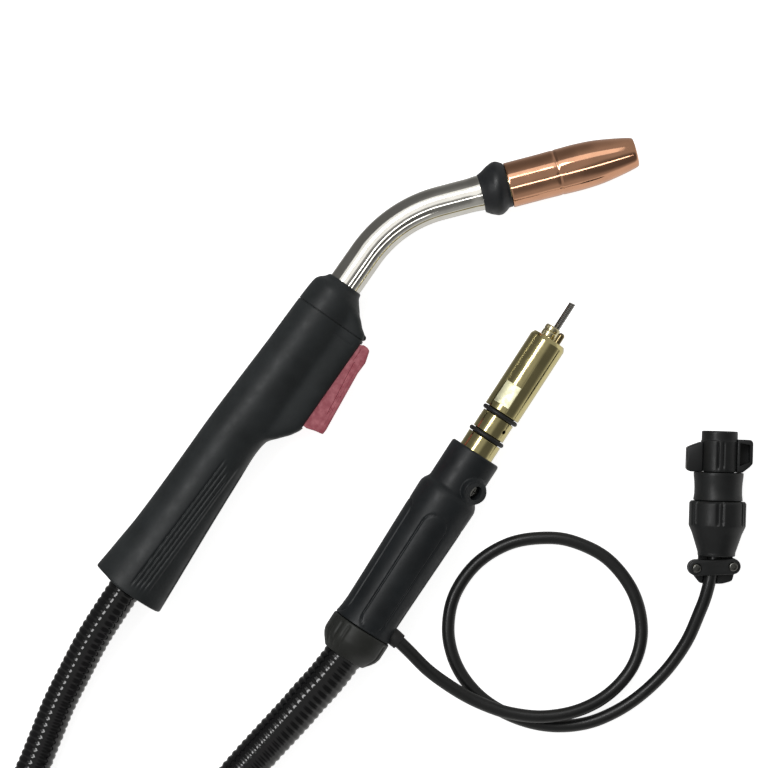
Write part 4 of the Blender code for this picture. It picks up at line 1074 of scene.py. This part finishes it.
def make_rear_housing(looks):
    """Two half shells round the pin's rear, with a boss for the locking screw."""
    outline = ((0, 9.7), (0, 13.0), (-0.9, 13.6), (-21.0, 13.6), (-22.4, 13.9), (-24.2, 15.2),
               (-26.5, 16.0), (-30.0, 16.0), (-40, 15.8), (-60, 15.4), (-80, 15.0), (-96, 14.8),
               (-101, 15.1), (-105.2, 15.9), (-105.2, 10.9), (-103, 10.9), (-103, 11.6), (-28, 12.0),
               (-24, 10.3), (-3, 10.3), (-3, 9.7))
    upright = PIN_END @ turn("X", BOSS_TILT) @ shift(BOSS_AT) @ turn("Y", -90)
    recess = [rod(11.2, 20, 3.5, upright, 48, 4.1), rod(9, 20, 1.7, upright)]
    cord_place = PIN_END @ shift(CORD_EXIT_AT) @ turn("Z", -90 - CORD_EXIT_TILT)
    halves = (("rear_housing_upper", 1, (0, 180)), ("rear_housing_lower", -1, (180, 360)))
    for name, side, span in halves:
        place = PIN_END @ shift(0, 0, side * HALF_GAP)
        half = lathe(name, outline, looks["housing"], place, 180, 0.7, housing_shape, 0.9, span)
        cutters = [rod(5, 25, 4.6, cord_place)] + (recess if side > 0 else [])
        combine(half, cutters, "DIFFERENCE")
    screw = lathe("housing_locking_screw", ((8.7, 0), (8.7, 1.4), (11.3, 1.4), (11.3, 3), (13.2, 3),
                                            (13.2, 0)), looks["dark_steel"], upright, 40, 0.3)
    combine(screw, cross(upright @ shift(13.2), 1.9, 0.6, 0.9), "DIFFERENCE")


def collar_shape(along, radius, angle):
    """Groups of three grip grooves round the collar."""
    change = grooves(angle, (50, 170, 290), (-17, 0, 17), 0.6, 3.2)
    run = band(-along, 106.5, 108, 118, 121.5)
    return radius + change * run * (radius > 12.5)


def make_collar(looks):
    """The collar behind the housing, and the grommet that the control cord leaves through."""
    collar = ((COLLAR_FRONT, 10.6), (COLLAR_FRONT, 15.6), (-106.1, COLLAR_RADIUS),
              (-114.5, COLLAR_RADIUS), (-117, 15.4), (-119, 14.1), (-121, 12.5),
              (COLLAR_REAR, 11.3), (COLLAR_REAR, 10.6))
    lathe("rear_collar", collar, looks["collar"], PIN_END, 240, 0.8, collar_shape, 0.9)
    grommet = ((10, 3.7), (10, 4.35), (16.5, 4.35), (20, 4.2), (20, 3.7))
    lathe("control_cord_grommet", grommet, looks["rubber"],
          PIN_END @ shift(CORD_EXIT_AT) @ turn("Z", -90 - CORD_EXIT_TILT), 40, 0.2)


# ---------------------------------------------------------------- control plug

def ear(side):
    """The middle of the clamp's left (1) or right (-1) ear, at its screw."""
    tilt = math.radians(CLAMP_TILT)
    return (CLAMP_AT[0] - side * EAR_SPACING * math.sin(tilt),
            CLAMP_AT[1] + side * EAR_SPACING * math.cos(tilt))


def clamp_outline():
    """A bar with round ends that lies a little askew across the plug."""
    points = []
    for side in (1, -1):
        x, y = ear(side)
        for angle in np.radians(np.linspace(CLAMP_TILT, CLAMP_TILT + 180, 14)):
            points.append((x + side * EAR_RADIUS * math.cos(angle),
                           y + side * EAR_RADIUS * math.sin(angle)))
    return points


def grip_shape(along, radius, angle):
    """Pairs of grooves across the backshell's grip ring."""
    change = grooves(angle, range(90, 450, 60), (-5.5, 5.5), 0.75, 2.2)
    run = band(along, 27.9, 29.2, 39.9, 40.6)
    return radius + change * run * (radius > 12.6)


def ring_grooves(along, radius, angle):
    """A pair of grooves on the coupling ring's hub, above and below."""
    change = grooves(angle, (90, 270), (-9, 9), 0.7, 3.0)
    run = band(along, 56.5, 57.5, 70.0, 71.0)
    return radius + change * run * (radius > 9.0)


def make_plug_shells(looks):
    """The barrel, the tapered backshell with its grip ring, and the clamp with its screws."""
    black = looks["black"]
    shell = ((32, 10), (32, 11.5), (40.6, 11.6), (40.9, 12.5), (42.5, 12.3), (44, 12.1),
             (47, 12.05), (50, 12.2), (53, 12.55), (54.9, 12.6), (54.9, 7.6), (65.4, 7.6),
             (65.8, 8.4), (67, 8.4), (67.4, 7.6), (74.2, 7.6), (74.2, 6.3), (50, 6.3), (50, 10))
    lathe("plug_shell", shell, black, PLUG, 96, 0.3)
    backshell = ((12.6, 0), (12.6, 9.0), (13.0, 9.5), (14.4, 9.5), (16.0, 10.0), (20.0, 11.3),
                 (24.0, 12.6), (26.0, 13.5), (28.0, 14.4), (39.4, 14.4), (40.4, 13.7), (40.4, 11.9),
                 (30, 11.9), (15, 7), (15, 0))
    body = lathe("plug_backshell", backshell, black, PLUG, 216, 0.3, grip_shape, 1.2)
    lip = ((8, -10.5), (3, -9.1), (0.8, -8.6), (-0.1, -7.6), (-1.3, -3.5), (-1.6, 3), (-1.3, 7.8),
           (0, 8.9), (2, 10.7), (8, 12.8))
    jaws = [plate("cutter", clamp_outline(), -5.2, -0.3, None, PLUG, 0.5),
            plate("cutter", rounded(lip, 1.2, 4), -5.1, -0.4, None, PLUG, 0.5),
            block((6, 14), (-8.4, 8.8), (-5.0, -0.3), PLUG)]
    combine(body, jaws, "UNION")
    bar = plate("plug_cord_clamp", clamp_outline(), 0.1, 4.8, black, PLUG, 0.7)
    for target in (body, bar):
        way = PLUG @ shift(*CORD_WAY_AT) @ turn("Z", -CORD_WAY_TILT)
        cutters = [rod(-16, 10, CORD_RADIUS + 0.4, way, 40)]
        for side in (-1, 1):
            cutters.append(rod(-20, 20, 1.7, PLUG @ shift(*ear(side)) @ turn("Y", -90), 24))
        combine(target, cutters, "DIFFERENCE")
    made = [body, bar]
    head = ((-4.9, 0), (-4.9, 1.4), (5.0, 1.4), (5.0, 2.4), (5.9, 2.4), (6.6, 1.8), (6.8, 0.9),
            (6.8, 0))
    for name, side in (("plug_clamp_screw_left", 1), ("plug_clamp_screw_right", -1)):
        place = PLUG @ shift(*ear(side)) @ turn("Y", -90)
        screw = lathe(name, head, looks["dark_steel"], place, 40, 0.25)
        combine(screw, cross(place @ shift(6.8) @ turn("X", 22 * side), 1.3, 0.5, 1.0), "DIFFERENCE")
        made.append(screw)
    return made


def make_plug_contacts(looks):
    """The insert in the plug's mouth, with four sockets in a ring."""
    insert = lathe("plug_contact_insert", ((50.4, 0), (50.4, 6), (INSERT_FACE, 6), (INSERT_FACE, 0)),
                   looks["black"], PLUG, 64, 0.3)
    holes = []
    for number in range(1, 5):
        angle = math.radians(90 * number - 45)
        ring = CONTACT_RING_RADIUS * np.array((math.cos(angle), math.sin(angle)))
        place = PLUG @ shift(0, *ring)
        holes.append(rod(45, 70, 1.45, place, 24))
        socket = ((46.5, 0.6), (46.5, 1.15), (INSERT_FACE - 0.4, 1.15), (INSERT_FACE - 0.4, 0.6))
        lathe(f"plug_contact_{number}", socket, looks["brass"], place, 24, 0.1)
    combine(insert, holes, "DIFFERENCE")


def make_coupling_ring(looks):
    """The hub that turns on the shell, with a solid wing and a hollow one."""
    hub = ((55.3, 7.95), (55.3, 9.4), (70.9, 9.4), (71.2, 9.1), (75.4, 9.1), (PLUG_MOUTH, 8.7),
           (PLUG_MOUTH, 7.95), (67.9, 7.95), (67.9, 8.75), (65.2, 8.75), (65.2, 7.95))
    ring = lathe("plug_coupling_ring", hub, looks["black"], PLUG, 160, 0.2, ring_grooves, 1.2)
    left = ((55.1, 8.6), (55.1, 15.0), (56.3, WING_RADIUS), (67.2, WING_RADIUS), (68.3, 14.4),
            (70.1, 9.8), (70.1, 8.6))
    right = ((55.1, 8.6), (55.1, 11.4), (58.0, 15.0), (59.8, WING_RADIUS), (70.6, WING_RADIUS),
             (71.8, 15.6), (71.8, 8.6))
    pocket = ((58.4, 10.0), (60.6, WING_RADIUS - 1.5), (69.4, WING_RADIUS - 1.5), (70.2, 10.0))
    wings = [plate("cutter", outline, -WING_HALF_WIDTH, WING_HALF_WIDTH, None, PLUG @ turn("X", angle),
                   0.6) for angle, outline in ((0, left), (180, right))]
    combine(ring, wings, "UNION")
    hollow = plate("cutter", pocket, -WING_HALF_WIDTH - 1, WING_HALF_WIDTH - 1.6, None,
                   PLUG @ turn("X", 180), 0)
    combine(ring, [hollow], "DIFFERENCE")


# ---------------------------------------------------------------- the rest

def dress_hidden_nodes(looks):
    """Materials for the CAD nodes whose own shape stays."""
    by_look = {
        "brass": ("neck_clamp_nut", "neck_connector_block", "power_cable_terminal"),
        "copper": ("neck_conductor_tube",),
        "nylon": ("neck_insulating_sleeve", "switch_plunger"),
        "zinc_steel": ("trigger_return_spring", "nozzle_retaining_clip"),
        "spring_steel": ("torch_liner",),
        "rubber": ("power_cable_in_handle", "power_cable_in_housing", "switch_lead_1",
                   "switch_lead_2"),
        "black": ("trigger_switch_body",),
    }
    for look, nodes in by_look.items():
        for node in nodes:
            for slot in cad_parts[node].material_slots:
                slot.material = looks[look]


def main():
    make_camera()
    looks = make_materials()
    make_main_cable(looks)
    plug_pieces = make_plug_shells(looks)
    make_plug_contacts(looks)
    make_coupling_ring(looks)
    make_control_cord(looks)
    make_handle_shells(looks)
    make_handle_screws(looks)
    make_front_cap(looks)
    make_trigger(looks)
    make_ferrule(looks)
    make_neck(looks)
    make_nozzle_end(looks)
    make_power_pin(looks)
    make_rear_housing(looks)
    make_collar(looks)
    dress_hidden_nodes(looks)
    make_studio()
    light_the_metal()


main()
